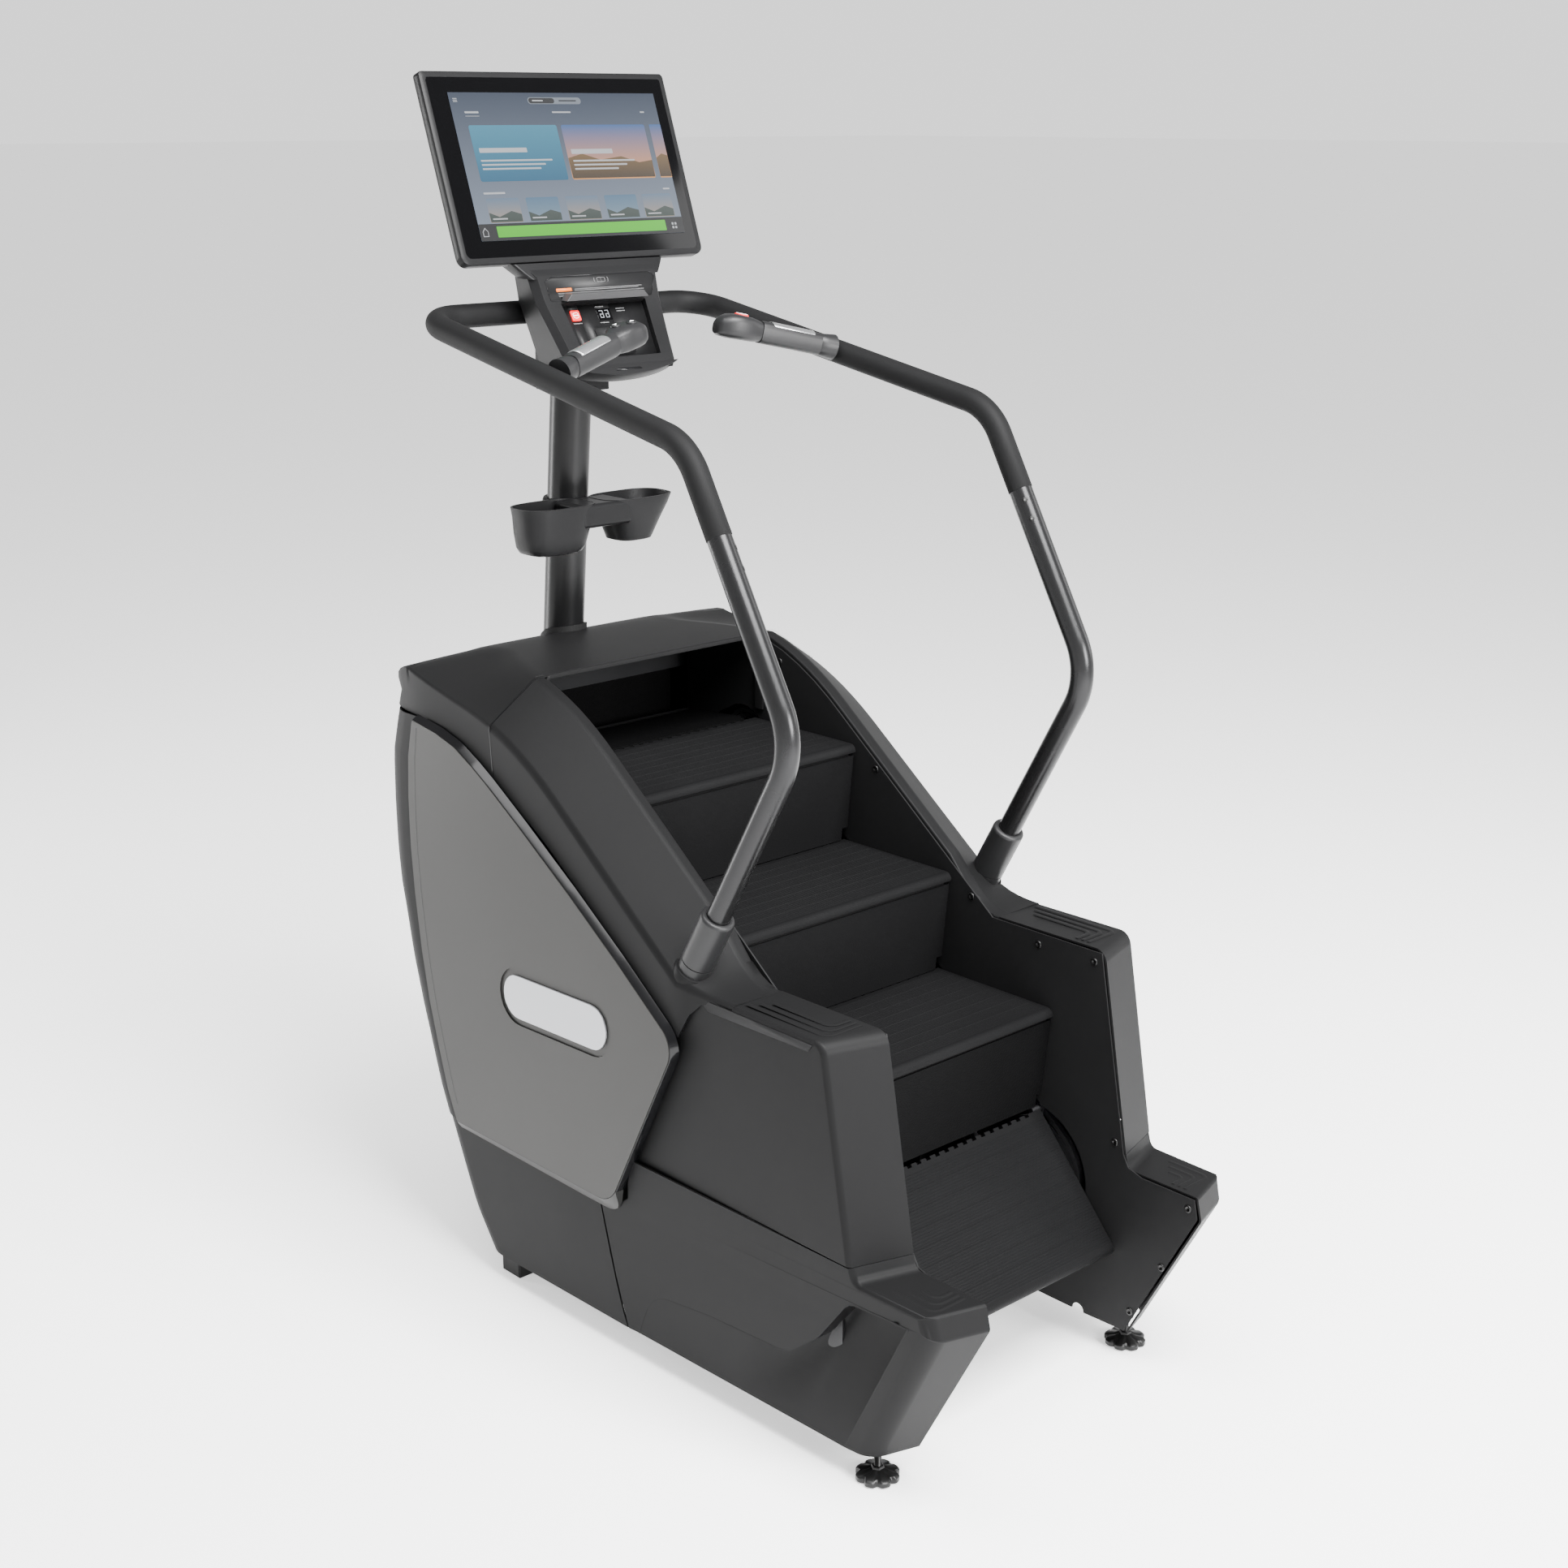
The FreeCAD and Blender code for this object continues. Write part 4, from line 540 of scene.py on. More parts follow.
def column(sign, side):
    """Outer skin of the column: front face, hand deck and side."""
    z0 = SEAM_Z + JOINT_GAP
    corners = [(column_front(z0), z0), (column_front(DECK_Z), DECK_Z), (-0.249, DECK_Z - 0.003)]
    rows = rounded_side(corners, [0, 0.026, 0], [0.0085, 0.0085], lambda y, z: COLUMN_X)
    rest = [(-0.124, DECK_Z + 0.001), (-0.096, 0.74), (-0.08, 0.64), (0.02, 0.44), (0.004, z0)]
    obj = side_skin("column_skin_" + side, rows, [Vector((COLUMN_X, y, z)) for y, z in rest], sign)
    shell(obj, "column_cover_" + side)


def lower_x(y, z):
    """Half width of the lower cover's outer face."""
    front = 0.346 + (z - 0.04) * 0.0625
    rear = 0.378 + (z - 0.04) * 0.03
    share = (y + 0.76) / 0.9
    return front + (rear - front) * share


SCOOP_RIM = resample(rounded(
    [(-0.65, 0.3385), (-0.585, 0.337), (-0.519, 0.333), (-0.445, 0.239), (-0.37, 0.179),
     (-0.18, 0.169), (-0.03, 0.15), (0.01, 0.0555)], [0, 0, 0.035, 0.1, 0.07, 0.1, 0.08, 0], 8), 0.012)
SCOOP_FOOT = Vector((-0.5, 0.0555))
SCOOP_DEPTH = 0.042


def smooth_step(value):
    value = min(1.0, max(0.0, value))
    return value * value * (3 - 2 * value)


def scoop(sign, side):
    """Hollow behind the leg: deepest at its upper front corner, running out below and behind."""
    lengths = [0.0]
    for a, b in zip(SCOOP_RIM, SCOOP_RIM[1:]):
        lengths.append(lengths[-1] + (b - a).length)
    grid = []
    for k in range(15):
        t = k / 14
        row = []
        for p, length in zip(SCOOP_RIM, lengths):
            share = length / lengths[-1]
            q = p.lerp(SCOOP_FOOT.lerp(SCOOP_RIM[-1], share), t)
            fade = (1 - smooth_step((share - 0.2) / 0.36)) * (0.5 + 0.5 * math.cos(math.pi * t)) ** 0.8
            row.append(Vector((lower_x(q.x, q.y) - SCOOP_DEPTH * fade, q.x, q.y)))
        grid.append(row)
    leg = [row[0] for row in grid]
    walls = []
    for line in (grid[0], leg):
        walls.append([[Vector((lower_x(p.y, p.z) + 0.0002, p.y, p.z)) for p in line], line])
    parts = []
    for rows in (grid, *walls):
        verts = [Vector((sign * p.x, p.y, p.z)) for row in rows for p in row]
        parts.append(new_object("scoop", verts, grid_faces(len(rows), len(rows[0]))))
    shell(split_edges(solidify(join("scoop_" + side, parts), 0.0025), 40))


def lower(sign, side):
    """Foot pad, leg and lower skirt, cut away along the rim of the scoop."""
    top = SEAM_Z - JOINT_GAP
    corners = [(-0.58, 0.056), (-0.727, 0.33), (-0.717, PAD_Z), (-0.567, PAD_Z), (-0.5595, top)]
    rows = rounded_side(corners, [0, 0.01, 0.007, 0.022, 0], [0.026, 0.02, 0.0085, 0.0085], lower_x)
    rest = [(0.004, top), (0.018, 0.35), (0.02, 0.318), (0.047, 0.297), (0.097, 0.292), (0.064, 0.15),
            (0.036, BOTTOM_Z)]
    rest += [tuple(p) for p in SCOOP_RIM[::-1]] + [tuple(SCOOP_FOOT)]
    obj = side_skin("lower_skin_" + side, rows, [Vector((lower_x(y, z), y, z)) for y, z in rest], sign)
    shell(obj, "lower_cover_" + side)


PANEL_TOP = [(-0.134, 0.655), (0.015, 0.764), (0.146, 0.853), (0.282, 0.94), (0.375, 0.997),
             (0.418, 1.021), (0.472, 1.047), (0.53, 1.06), (0.604, 1.069), (0.73, 1.0705)]


def between(table, value):
    """Linear interpolation in a table of pairs."""
    for (a0, b0), (a1, b1) in zip(table, table[1:]):
        if value <= a1:
            return b0 + (b1 - b0) * (value - a0) / (a1 - a0)
    return table[-1][1]


HOOD_ROWS = [(HOOD_LIP_Y, 0.39, 1.1745), (0.395, 0.39, 1.1752), (0.415, 0.39, 1.176),
             (0.44, 0.39, 1.1767), (0.465, 0.39, 1.1772), (0.49, 0.39, 1.1775),
             (0.52, 0.39, 1.1775), (0.55, 0.39, 1.1775), (0.58, 0.3895, 1.177),
             (0.605, 0.3885, 1.1762), (0.63, 0.386, 1.1745), (0.652, 0.382, 1.1712),
             (0.672, 0.3765, 1.1645), (0.69, 0.37, 1.154), (0.704, 0.3615, 1.14),
             (0.714, 0.352, 1.124), (0.721, 0.342, 1.106), (0.7255, 0.332, 1.087)]


def hood_row(y, half, top):
    """Half section of the hood from the panel edge up to its middle."""
    back = min(1.0, max(0.0, (y - 0.56) / 0.16))
    shoulder = min(crease(y), top - 0.006 - 0.006 * back)
    low = min(between(PANEL_TOP, y) + 0.008, top - 0.012)
    bend = 0.286 - 0.075 * min(1.0, (y - HOOD_LIP_Y) / 0.19) ** 1.3
    mid = top - 0.0005 - 0.0028 * min(1.0, max(0.0, (0.62 - y) / 0.2))
    flare = (0.004 + 0.003 * back) * back
    rise = mid - shoulder
    return [(half - 0.005 + flare, low), (half - 0.004 - 0.002 * back, low + (shoulder - low) * 0.5),
            (half, shoulder), (half - 0.35 * (half - bend), shoulder + 0.36 * rise),
            (bend + 0.03, shoulder + 0.74 * rise), (bend, mid), (bend - 0.022, top),
            (0.12, top + 0.0005), (0.04, top + 0.0006)]


def hood():
    """Top hood: raised middle, sloping shoulders, steep sides and a rolled back edge."""
    rows = []
    for y, half, top in HOOD_ROWS:
        side = hood_row(y, half, top)
        rows.append([Vector((x, y, z)) for x, z in side] + [Vector((-x, y, z)) for x, z in side[::-1]])
    obj = loft("hood_skin", rows, caps=False, closed=False)

    def rule(a, b):
        if abs(a.y - b.y) < SAME:
            return 0.0
        heights = [abs(p.z - min(crease(p.y), 1.2)) for p in (a, b)]
        return 1.0 if max(heights) < 1e-4 and min(abs(a.x), abs(b.x)) > 0.38 else 0.0

    weigh_edges(obj, rule)
    bevel(obj, 0.006, 3, weighted=True, harden=False)
    solidify(obj, 0.004)
    shell(flatten_normals(split_edges(obj, 40)), "top_hood")


def hood_lip():
    """Rolled edge round the opening over the steps."""
    corners = [(-WELL_X, 1.02), (-WELL_X, HOOD_Z), (WELL_X, HOOD_Z), (WELL_X, 1.02)]
    path = rounded(corners, [0, 0.016, 0.016, 0])
    rings = []
    for inset, depth in ((0.0, 0.02), (0.0, 0.001), (0.0035, -0.0008), (0.0085, -0.0008), (0.0095, 0.002),
                         (0.0095, 0.02)):
        xs = [math.copysign(min(abs(p.x), WELL_X - inset), p.x) for p in path]
        rings.append([Vector((x, HOOD_LIP_Y + depth, min(p.y, HOOD_Z - inset))) for x, p in zip(xs, path)])
    shell(split_edges(loft("hood_lip", rings, caps=False, closed=False), 50))


def hood_seams():
    """Dark joint lines between the hood and the stringer covers."""
    seam = []
    line = [(0.386, facet(HOOD_LIP_Y) + 0.008), (0.3905, crease(HOOD_LIP_Y)), (LIP_X, HOOD_Z),
            (0.268, 1.1748)]
    for sign in (-1, 1):
        for a, b in zip(line, line[1:]):
            verts = [Vector((sign * x, HOOD_LIP_Y + d, z + 0.0007)) for (x, z), d in
                     ((a, -0.0007), (b, -0.0007), (b, 0.0007), (a, 0.0007))]
            seam.append(new_object("seam", verts, [(0, 1, 2, 3)], smooth=False))
    trim(join("hood_seams", seam))


PANEL_EDGE = [(0.604, 1.072), (0.53, 1.062), (0.472, 1.047), (0.418, 1.021), (0.375, 0.997),
              (0.282, 0.94), (0.146, 0.853), (0.015, 0.764), (-0.134, 0.655), (0.047, 0.305),
              (0.514, 0.303)]


def outward_normals(path, middle, window=4):
    """Smoothed unit normals that point away from the middle."""
    raw = []
    for a, b in zip([path[0]] + path[:-1], path[1:] + [path[-1]]):
        d = (b - a).normalized()
        n = Vector((d.y, -d.x))
        raw.append(n if n.dot(a - middle) > 0 else -n)
    smooth = []
    for i in range(len(raw)):
        total = Vector((0, 0))
        for n in raw[max(0, i - window):i + window + 1]:
            total += n
        smooth.append(total.normalized())
    return smooth


def panel_rims(sign, side):
    """Glossy band round the top and front of the side panel, bevelled strip under it in a slightly darker
    copy of the panel paint as painted shade.
    """
    path = resample(rounded(PANEL_EDGE, [0, 0.1, 0.1, 0.1, 0.1, 0.2, 0.4, 0.4, 0.046, 0.058, 0], 10), 0.006)
    gloss = []
    under = []
    for p, n in zip(path, outward_normals(path, Vector((0.25, 0.62)))):
        top = smooth_step((n.y + 0.3) / 0.5)
        low = smooth_step((-0.55 - n.y) / 0.42)
        wide = 0.0006 + 0.007 * top
        x_low = 0.38 + 0.0075 * top
        out = [p + n * d for d in (0.0006, 0.0018, wide + 0.0014)]
        gloss.append([Vector((sign * x, q.x, q.y)) for x, q in zip((0.4005, 0.399, x_low), out)])
        if low > 0.02:
            drop = 0.024 * low
            out = [p + n * d for d in (0.001, 0.001 + 0.3 * drop, 0.001 + drop, 0.001 + drop)]
            xs = (0.4014, 0.4014 - 0.004 * low, 0.4014 - 0.0165 * low, 0.383)
            under.append([Vector((sign * x, q.x, q.y)) for x, q in zip(xs, out)])
    band = loft("panel_band_" + side, gloss, caps=False, closed=False)
    trim(split_edges(band, 60), *(["side_strips"] if sign < 0 else []))
    strip = loft("panel_underside_" + side, under, caps=False, closed=False)
    # the bevel under the panel takes the darker copy of the panel paint: painted shade
    dress(split_edges(strip, 40), "frame", SHADED_STRIP, "graphite_panel")
    heights = [1.06 - 0.02 * k for k in range(37)]
    parts = [[Vector((sign * 0.40225, between(SEAM_LINE, z) + d, z)) for d in (-0.0008, 0.0008)]
             for z in heights]
    trim(loft("panel_seam_" + side, parts, caps=False, closed=False))


SEAM_LINE = [(0.3, 0.492), (0.361, 0.518), (0.437, 0.541), (0.528, 0.566), (0.622, 0.584), (0.732, 0.598),
             (0.826, 0.605), (0.921, 0.605), (1.001, 0.6), (1.08, 0.586)]


def wrap_row(z, start, rear, half, radius, steps=10):
    row = [Vector((half, start, z))]
    for i in range(steps + 1):
        t = math.pi / 2 * i / steps
        row.append(Vector((half - radius + radius * math.cos(t), rear - radius + radius * math.sin(t), z)))
    return row + [Vector((-p.x, p.y, p.z)) for p in row[::-1]]


BODY_REAR = [(0.054, 0.474), (0.13, 0.525), (0.22, 0.56), (0.305, 0.592), (0.4, 0.628), (0.5, 0.662),
             (0.6, 0.69), (0.681, 0.706), (0.742, 0.7195), (0.806, 0.726), (0.9, 0.7275), (0.98, 0.7245),
             (1.04, 0.718), (1.08, 0.712)]
PANEL_REAR = [(0.303, 0.514), (0.361, 0.54), (0.437, 0.563), (0.528, 0.588), (0.622, 0.606), (0.732, 0.62),
              (0.826, 0.627), (0.921, 0.627), (1.001, 0.621), (1.08, 0.604)]


def rear_covers():
    """Large rear cover with rounded corners, and the lower cover under it."""
    rows = []
    z = 0.306
    while z < 1.0785:
        rear = between(BODY_REAR, z)
        start = between(PANEL_REAR, z)
        half = 0.4 - max(0.0, z - 1.0) * 0.12
        rows.append(wrap_row(z, start + 0.0022, rear, half, min(0.075, rear - start - 0.004)))
        z += 0.0257
    upper = solidify(loft("rear_skin", rows, caps=False, closed=False), SKIN)
    shell(split_edges(upper, 40), "rear_cover")
    rows = []
    for i in range(12):
        z = BOTTOM_Z + (0.302 - BOTTOM_Z) * i / 11
        share = (z - BOTTOM_Z) / 0.238
        start = 0.0385 + 0.062 * share ** 0.8
        row = wrap_row(z, start, between(BODY_REAR, z), 0.383 + 0.009 * share, 0.062)
        row[0].x = lower_x(start, z)
        row[-1].x = -row[0].x
        rows.append(row)
    low = solidify(loft("rear_lower_skin", rows, caps=False, closed=False), SKIN)
    shell(split_edges(low, 40), "rear_lower_cover")


# ---- Small body details ----
def contour_ridges(name, sign, corner, size_x, size_y, z):
    """Raised L-shaped contour lines moulded into a flat top."""
    parts = []
    width = 0.0045
    for i in range(3):
        inset = 0.013 * i
        reach = size_x - inset * 1.3
        path = rounded([(0, 0), (reach, 0), (reach, size_y - inset * 2)], [0, 0.016, 0], 8)
        points = [Vector((corner[0] + p.x, corner[1] + inset + p.y, z)) for p in path]
        verts = []
        for a, p, b in zip([points[0]] + points, points, points[1:] + [points[-1]]):
            d = (b - a).normalized()
            for off, up in ((-width, 0.0), (-width * 0.4, 0.0009), (width * 0.4, 0.0009), (width, 0.0)):
                verts.append(Vector((sign * (p.x - d.y * off), p.y + d.x * off, p.z + up)))
        parts.append(new_object("ridge", verts, grid_faces(len(points), 4)))
    shell(join(name, parts))


def deck_shade_strip(sign, side):
    """Dark sheet under the outer edge of the deck: painted shade that stands in for the recessed wedge
    there.
    """
    x = sign * (COLUMN_X + 0.0008)
    outline = [(x, -0.168, 0.7475), (x, -0.44, 0.748), (x, -0.43, 0.735), (x, -0.192, 0.73)]
    # inner_black on a flat sheet, as painted shade of the recess
    obj = solidify(new_object("deck_shade_strip_" + side, outline, [(0, 1, 2, 3)]), 0.0006, 0.0)
    dress(obj, "frame", INNER, "inner_black")


def cover_cut(sign, side):
    """Dark joint between the stringer cover and the column."""
    ends = [Vector((sign * (CREASE_X - 0.013), y, z)) for y, z in ((-0.077, 0.698), (-0.131, 0.752))]
    trim(tube("cover_cut_" + side, ends, 0.0012, 12))


SCREWS = [(0.331, 1.123), (0.066, 0.964), (-0.183, 0.777), (-0.346, 0.729), (-0.474, 0.732),
          (-0.536, 0.413), (-0.7, 0.346), (-0.65, 0.215), (-0.586, 0.103)]


def panel_screws(sign, side):
    """Pan-head screws along the edge of the wall beside the steps."""
    profile = [(0.0072, -0.001), (0.0072, 0.001), (0.0062, 0.0022), (0.0034, 0.0024), (0.0028, 0.0008),
               (0.0, 0.0008)]
    inwards = Vector((-sign, 0, 0))
    parts = [lathe("screw", profile, Vector((sign * 0.2612, y, z)), inwards, 20) for y, z in SCREWS]
    dress(join("panel_screws_" + side, parts), "frame", SCREW, "gloss_black")


def rail_points(sign):
    """Foot, knee and upper bend of one handrail."""
    return (Vector((sign * 0.352, -0.118, 0.758)), Vector((sign * 0.3466, -0.3684, 1.2066)),
            Vector((sign * 0.3474, -0.1195, 1.6442)))


def socket_collar(sign, side):
    """Rounded foot ring in which the rail socket stands on the deck."""
    foot, knee = rail_points(sign)[:2]
    profile = [(0.022, -0.04), (0.03, -0.032), (0.034, -0.018), (0.0348, 0.0), (0.0345, 0.026),
               (0.0335, 0.0285), (0.0318, 0.029)]
    shell(split_edges(lathe("socket_collar_" + side, profile, foot, knee - foot, 56), 50))


# ---- Steps ----
AXLES = {0: (0.37178, 0.81244), 1: (0.4001, 0.9892), 2: (0.148, 0.7984), 3: (-0.1041, 0.6076),
         4: (-0.3562, 0.4168), 5: (-0.34397, 0.19848), 6: (-0.0973, 0.3963), 7: (0.1371, 0.6006)}
TILTS = {0: 35.7066, 1: 179.6331, 2: 179.6331, 3: 179.6331, 4: 228.3611, 5: 359.658, 6: 4.5843,
         7: 4.5843}


def link_frame(k):
    """Origin, along and outward directions of a tread."""
    t = math.radians(TILTS[k])
    along = Vector((0, math.cos(t), math.sin(t)))
    return Vector((0, *AXLES[k])), along, Vector((0, along.z, -along.y))


def rib_strip(k, name):
    """Fine anti-slip ribs across one tread, with broader lines near the nose."""
    origin, along, out = link_frame(k)
    verts = []
    faces = []
    u = 0.022
    index = 0
    while u < TREAD_LINK - 0.01:
        bold = index % 6 == 5
        w = 0.0021 if bold else 0.0013
        h = 0.0011 if bold else 0.0006
        start = len(verts)
        for x in (-TREAD_HALF + 0.006, TREAD_HALF - 0.006):
            for du, dw in ((-w, 0.0), (-w * 0.5, h), (w * 0.5, h), (w, 0.0)):
                verts.append(origin + along * (u + du) + out * (0.011 + dw) + Vector((x, 0, 0)))
        faces += [(start + i, start + i + 1, start + 5 + i, start + 4 + i) for i in range(3)]
        u += 0.0052
        index += 1
    seam_u = TREAD_LINK - 0.006
    start = len(verts)
    for x in (-TREAD_HALF + 0.001, TREAD_HALF - 0.001):
        for du, dw in ((-0.0012, 0.0), (0.0, 0.0009), (0.0012, 0.0)):
            verts.append(origin + along * (seam_u + du) + out * (0.011 + dw) + Vector((x, 0, 0)))
    faces += [(start, start + 1, start + 4, start + 3), (start + 1, start + 2, start + 5, start + 4)]
    return new_object(name, verts, faces)


def steps():
    groups = {"flight": (1, 2), "step_3": (3,), "step_4": (4,), "return_flight": (5, 6), "step_7": (7,),
              "step_0": (0,)}
    for body, indices in groups.items():
        obj = join("tread_ribs_" + body, [rib_strip(k, "rib") for k in indices])
        dress(obj, body, TREAD, "step_plastic")


# ---- Console ----
UP = Vector((0, math.sin(DISPLAY_TILT), math.cos(DISPLAY_TILT)))
OUT = Vector((0, -math.cos(DISPLAY_TILT), math.sin(DISPLAY_TILT)))
SUNK = (Vector((0, 0.457, 1.7)), Vector((0, 0.523, 1.811)))
BROW = (SUNK[1], Vector((0, 0.539, 1.856)))
PANEL_SINK = 0.012
SCREEN = (-0.2265, 0.242, 0.0415, 0.3096)
CARD_LOW = 0.148
CARD_HIGH = 0.25
TILE_LOW = 0.0735
TILE_HIGH = 0.1175


def plane_point(plane, x, up, out=0.0):
    """Point beside a console plane: across, up its slope and out of it."""
    low, high = plane
    slope = (high - low).normalized()
    return low + Vector((x, slope.y * up - slope.z * out, slope.z * up + slope.y * out))


def screen_point(x, up, out=0.0):
    """Point beside the display's glass: across, up it and out of it."""
    return DISPLAY_FOOT + Vector((x, 0, 0)) + UP * up + OUT * out


def screen_patch(points, out, mat):
    verts = [screen_point(x, u, out) for x, u in points]
    return paint(new_object("patch", verts, [tuple(range(len(verts)))], smooth=False), mat)


def card(x0, x1, u0, u1, radius=0.003):
    """Rounded rectangle, across by up."""
    return [tuple(p) for p in rounded([(x0, u0), (x1, u0), (x1, u1), (x0, u1)], [radius] * 4, 4)]


def screen_looks():
    """Lit colours of the start page by name."""
    card_low, card_high, tile_low, tile_high, low, high = (
        screen_point(0, up).z for up in (CARD_LOW, CARD_HIGH, TILE_LOW, TILE_HIGH, *SCREEN[2:]))
    cards = (card_low, card_high)
    tiles = (tile_low, tile_high)
    rows = {
        "back": ((0.27, 0.33, 0.43), (0.03, 0.052, 0.1), 1.0, (low, high)),
        "teal": ((0.01, 0.14, 0.27), (0.05, 0.3, 0.46), 1.1, cards),
        "sky": ((0.95, 0.42, 0.12), (0.05, 0.15, 0.4), 1.1, cards),
        "land": ((0.05, 0.03, 0.012), (0.26, 0.15, 0.05), 1.0, (card_low, card_low + 0.05)),
        "mist": ((0.24, 0.34, 0.44), (0.1, 0.22, 0.36), 1.0, tiles),
        "dusk": ((0.46, 0.38, 0.3), (0.16, 0.25, 0.38), 1.0, tiles),
        "ridge": ((0.035, 0.06, 0.05), (0.09, 0.12, 0.11), 1.0, tiles),
        "bar": ((0.012, 0.014, 0.02), (0.018, 0.022, 0.03), 0.6),
        "green": ((0.06, 0.56, 0.004), (0.08, 0.64, 0.005), 1.3, (1.9, 1.95)),
        "white": ((0.66, 0.69, 0.73), (0.7, 0.73, 0.77), 1.0),
        "grey": ((0.22, 0.26, 0.32), (0.26, 0.3, 0.36), 1.0)}
    return {name: glowing("ui_" + name, *row) for name, row in rows.items()}


def screen_cards():
    """Rounded rectangles of the start page: place, height above the glass, look and corner radius."""
    rows = [(*SCREEN, 0.0006, "back", 0.001), (-0.2265, 0.242, 0.0415, 0.072, 0.0009, "bar", 0.001),
            (-0.189, 0.199, 0.047, 0.067, 0.0012, "green", 0.0015),
            (-0.1985, -0.004, CARD_LOW, CARD_HIGH, 0.0009, "teal", 0.004),
            (0.006, 0.202, CARD_LOW, CARD_HIGH, 0.0009, "sky", 0.004),
            (0.214, 0.242, CARD_LOW, CARD_HIGH, 0.0009, "sky", 0.002),
            (-0.056, 0.065, 0.2885, 0.301, 0.001, "grey", 0.006),
            (-0.054, 0.004, 0.2898, 0.2997, 0.0012, "bar", 0.0048),
            (-0.046, -0.022, 0.2935, 0.296, 0.0014, "white", 0.001),
            (0.014, 0.054, 0.2935, 0.296, 0.0014, "bar", 0.001)]
    bars = [(-0.1875, -0.083, 0.2, 0.2085), (0.016, 0.112, 0.1955, 0.2045),
            (-0.2, -0.17, 0.2715, 0.275), (-0.007, 0.0355, 0.272, 0.2748), (0.199, 0.209, 0.272, 0.2748),
            (-0.2, -0.17, 0.266, 0.2668), (-0.2, -0.153, 0.125, 0.1285), (0.212, 0.228, 0.125, 0.128)]
    for left, ends in ((-0.189, ((-0.031, 0.184), (-0.048, 0.1765), (-0.06, 0.169))),
                       (0.016, ((0.16, 0.181), (0.14, 0.1735), (0.118, 0.166)))):
        bars += [(left, right, up, up + 0.0032) for right, up in ends]
    rows += [(x0, x1, u0, u1, 0.0014, "white", min(0.0012, (u1 - u0) * 0.4)) for x0, x1, u0, u1 in bars]
    for i in range(3):
        up = 0.292 + i * 0.0028
        rows.append((-0.219, -0.21, up, up + 0.0012, 0.0012, "white", 0.0005))
    for x in (0.214, 0.221):
        rows += [(x, x + 0.0045, up, up + 0.0045, 0.0012, "white", 0.001) for up in (0.05, 0.057)]
    return rows


def screen_ui():
    """Abstract start page: gradient, picture cards, green start bar, no lettering."""
    looks = screen_looks()
    rows = screen_cards()
    hills = [(0.007, 0.15), (0.201, 0.15), (0.202, 0.182), (0.17, 0.178), (0.13, 0.19), (0.08, 0.184),
             (0.04, 0.196), (0.006, 0.188)]
    cut_hills = [(0.214, 0.15), (0.2415, 0.15), (0.2415, 0.19), (0.228, 0.194), (0.214, 0.186)]
    house = [(-0.2205, 0.049), (-0.2085, 0.049), (-0.2085, 0.0585), (-0.2145, 0.0655), (-0.2205, 0.0585)]
    inside = [(-0.2192, 0.0503), (-0.2098, 0.0503), (-0.2098, 0.058), (-0.2145, 0.0633), (-0.2192, 0.058)]
    shapes = [(hills, 0.0012, "land"), (cut_hills, 0.0012, "land"), (house, 0.0012, "white"),
              (inside, 0.0014, "bar")]
    spans = ((-0.198, -0.1265), (-0.111, -0.0386), (-0.022, 0.0526), (0.068, 0.143), (0.157, 0.227))
    for i, (x0, x1) in enumerate(spans):
        rows.append((x0, x1, TILE_LOW, TILE_HIGH, 0.0009, "mist" if i % 2 else "dusk", 0.003))
        rows.append((x0 + 0.006, x0 + 0.038, 0.079, 0.0815, 0.0013, "white", 0.001))
        peaks = [(x0 + 0.001, 0.0745), (x1 - 0.001, 0.0745), (x1 - 0.0005, 0.088), (x0 + 0.05, 0.094),
                 (x0 + 0.022, 0.084), (x0 + 0.0005, 0.092)]
        shapes.append((peaks, 0.0011, "ridge"))
    shapes += [(card(*place, radius), out, look) for *place, out, look, radius in rows]
    parts = [screen_patch(points, out, looks[look]) for points, out, look in shapes]
    dress(join("screen_ui", parts), "frame", None, "screen_glass")


def display_shell():
    """Display housing with softly rounded edges and a lip round the glass."""
    half = DISPLAY_W / 2
    rings = []
    for inset, out, radius in ((0.0125, -0.004, 0.01), (0.0115, -0.0002, 0.011), (0.0035, 0.0, 0.014),
                               (0.0008, -0.0014, 0.016), (0.0, -0.0045, 0.017), (0.0, -0.019, 0.017),
                               (0.003, -0.022, 0.015), (0.016, -0.0225, 0.012), (0.02, -0.0296, 0.012)):
        x, top = half - inset, DISPLAY_H - inset
        path = rounded([(-x, inset), (x, inset), (x, top), (-x, top)],
                       [radius, radius, radius * 0.5, radius * 0.5], 7)
        rings.append([screen_point(p.x, p.y, out) for p in path])
    hub = []
    for inset, out in ((0.0, -0.029), (0.0, -0.05), (0.006, -0.0565)):
        x, low, top = 0.095 - inset, 0.04 + inset, 0.2 - inset
        path = rounded([(-x, low), (x, low), (x, top), (-x, top)], [0.014] * 4, 5)
        hub.append([screen_point(p.x, p.y, out) for p in path])
    parts = [split_edges(loft("housing", rings), 45), split_edges(loft("hub", hub), 45)]
    dress(join("display_shell", parts), "frame", CONSOLE, "console_plastic", "display_housing")


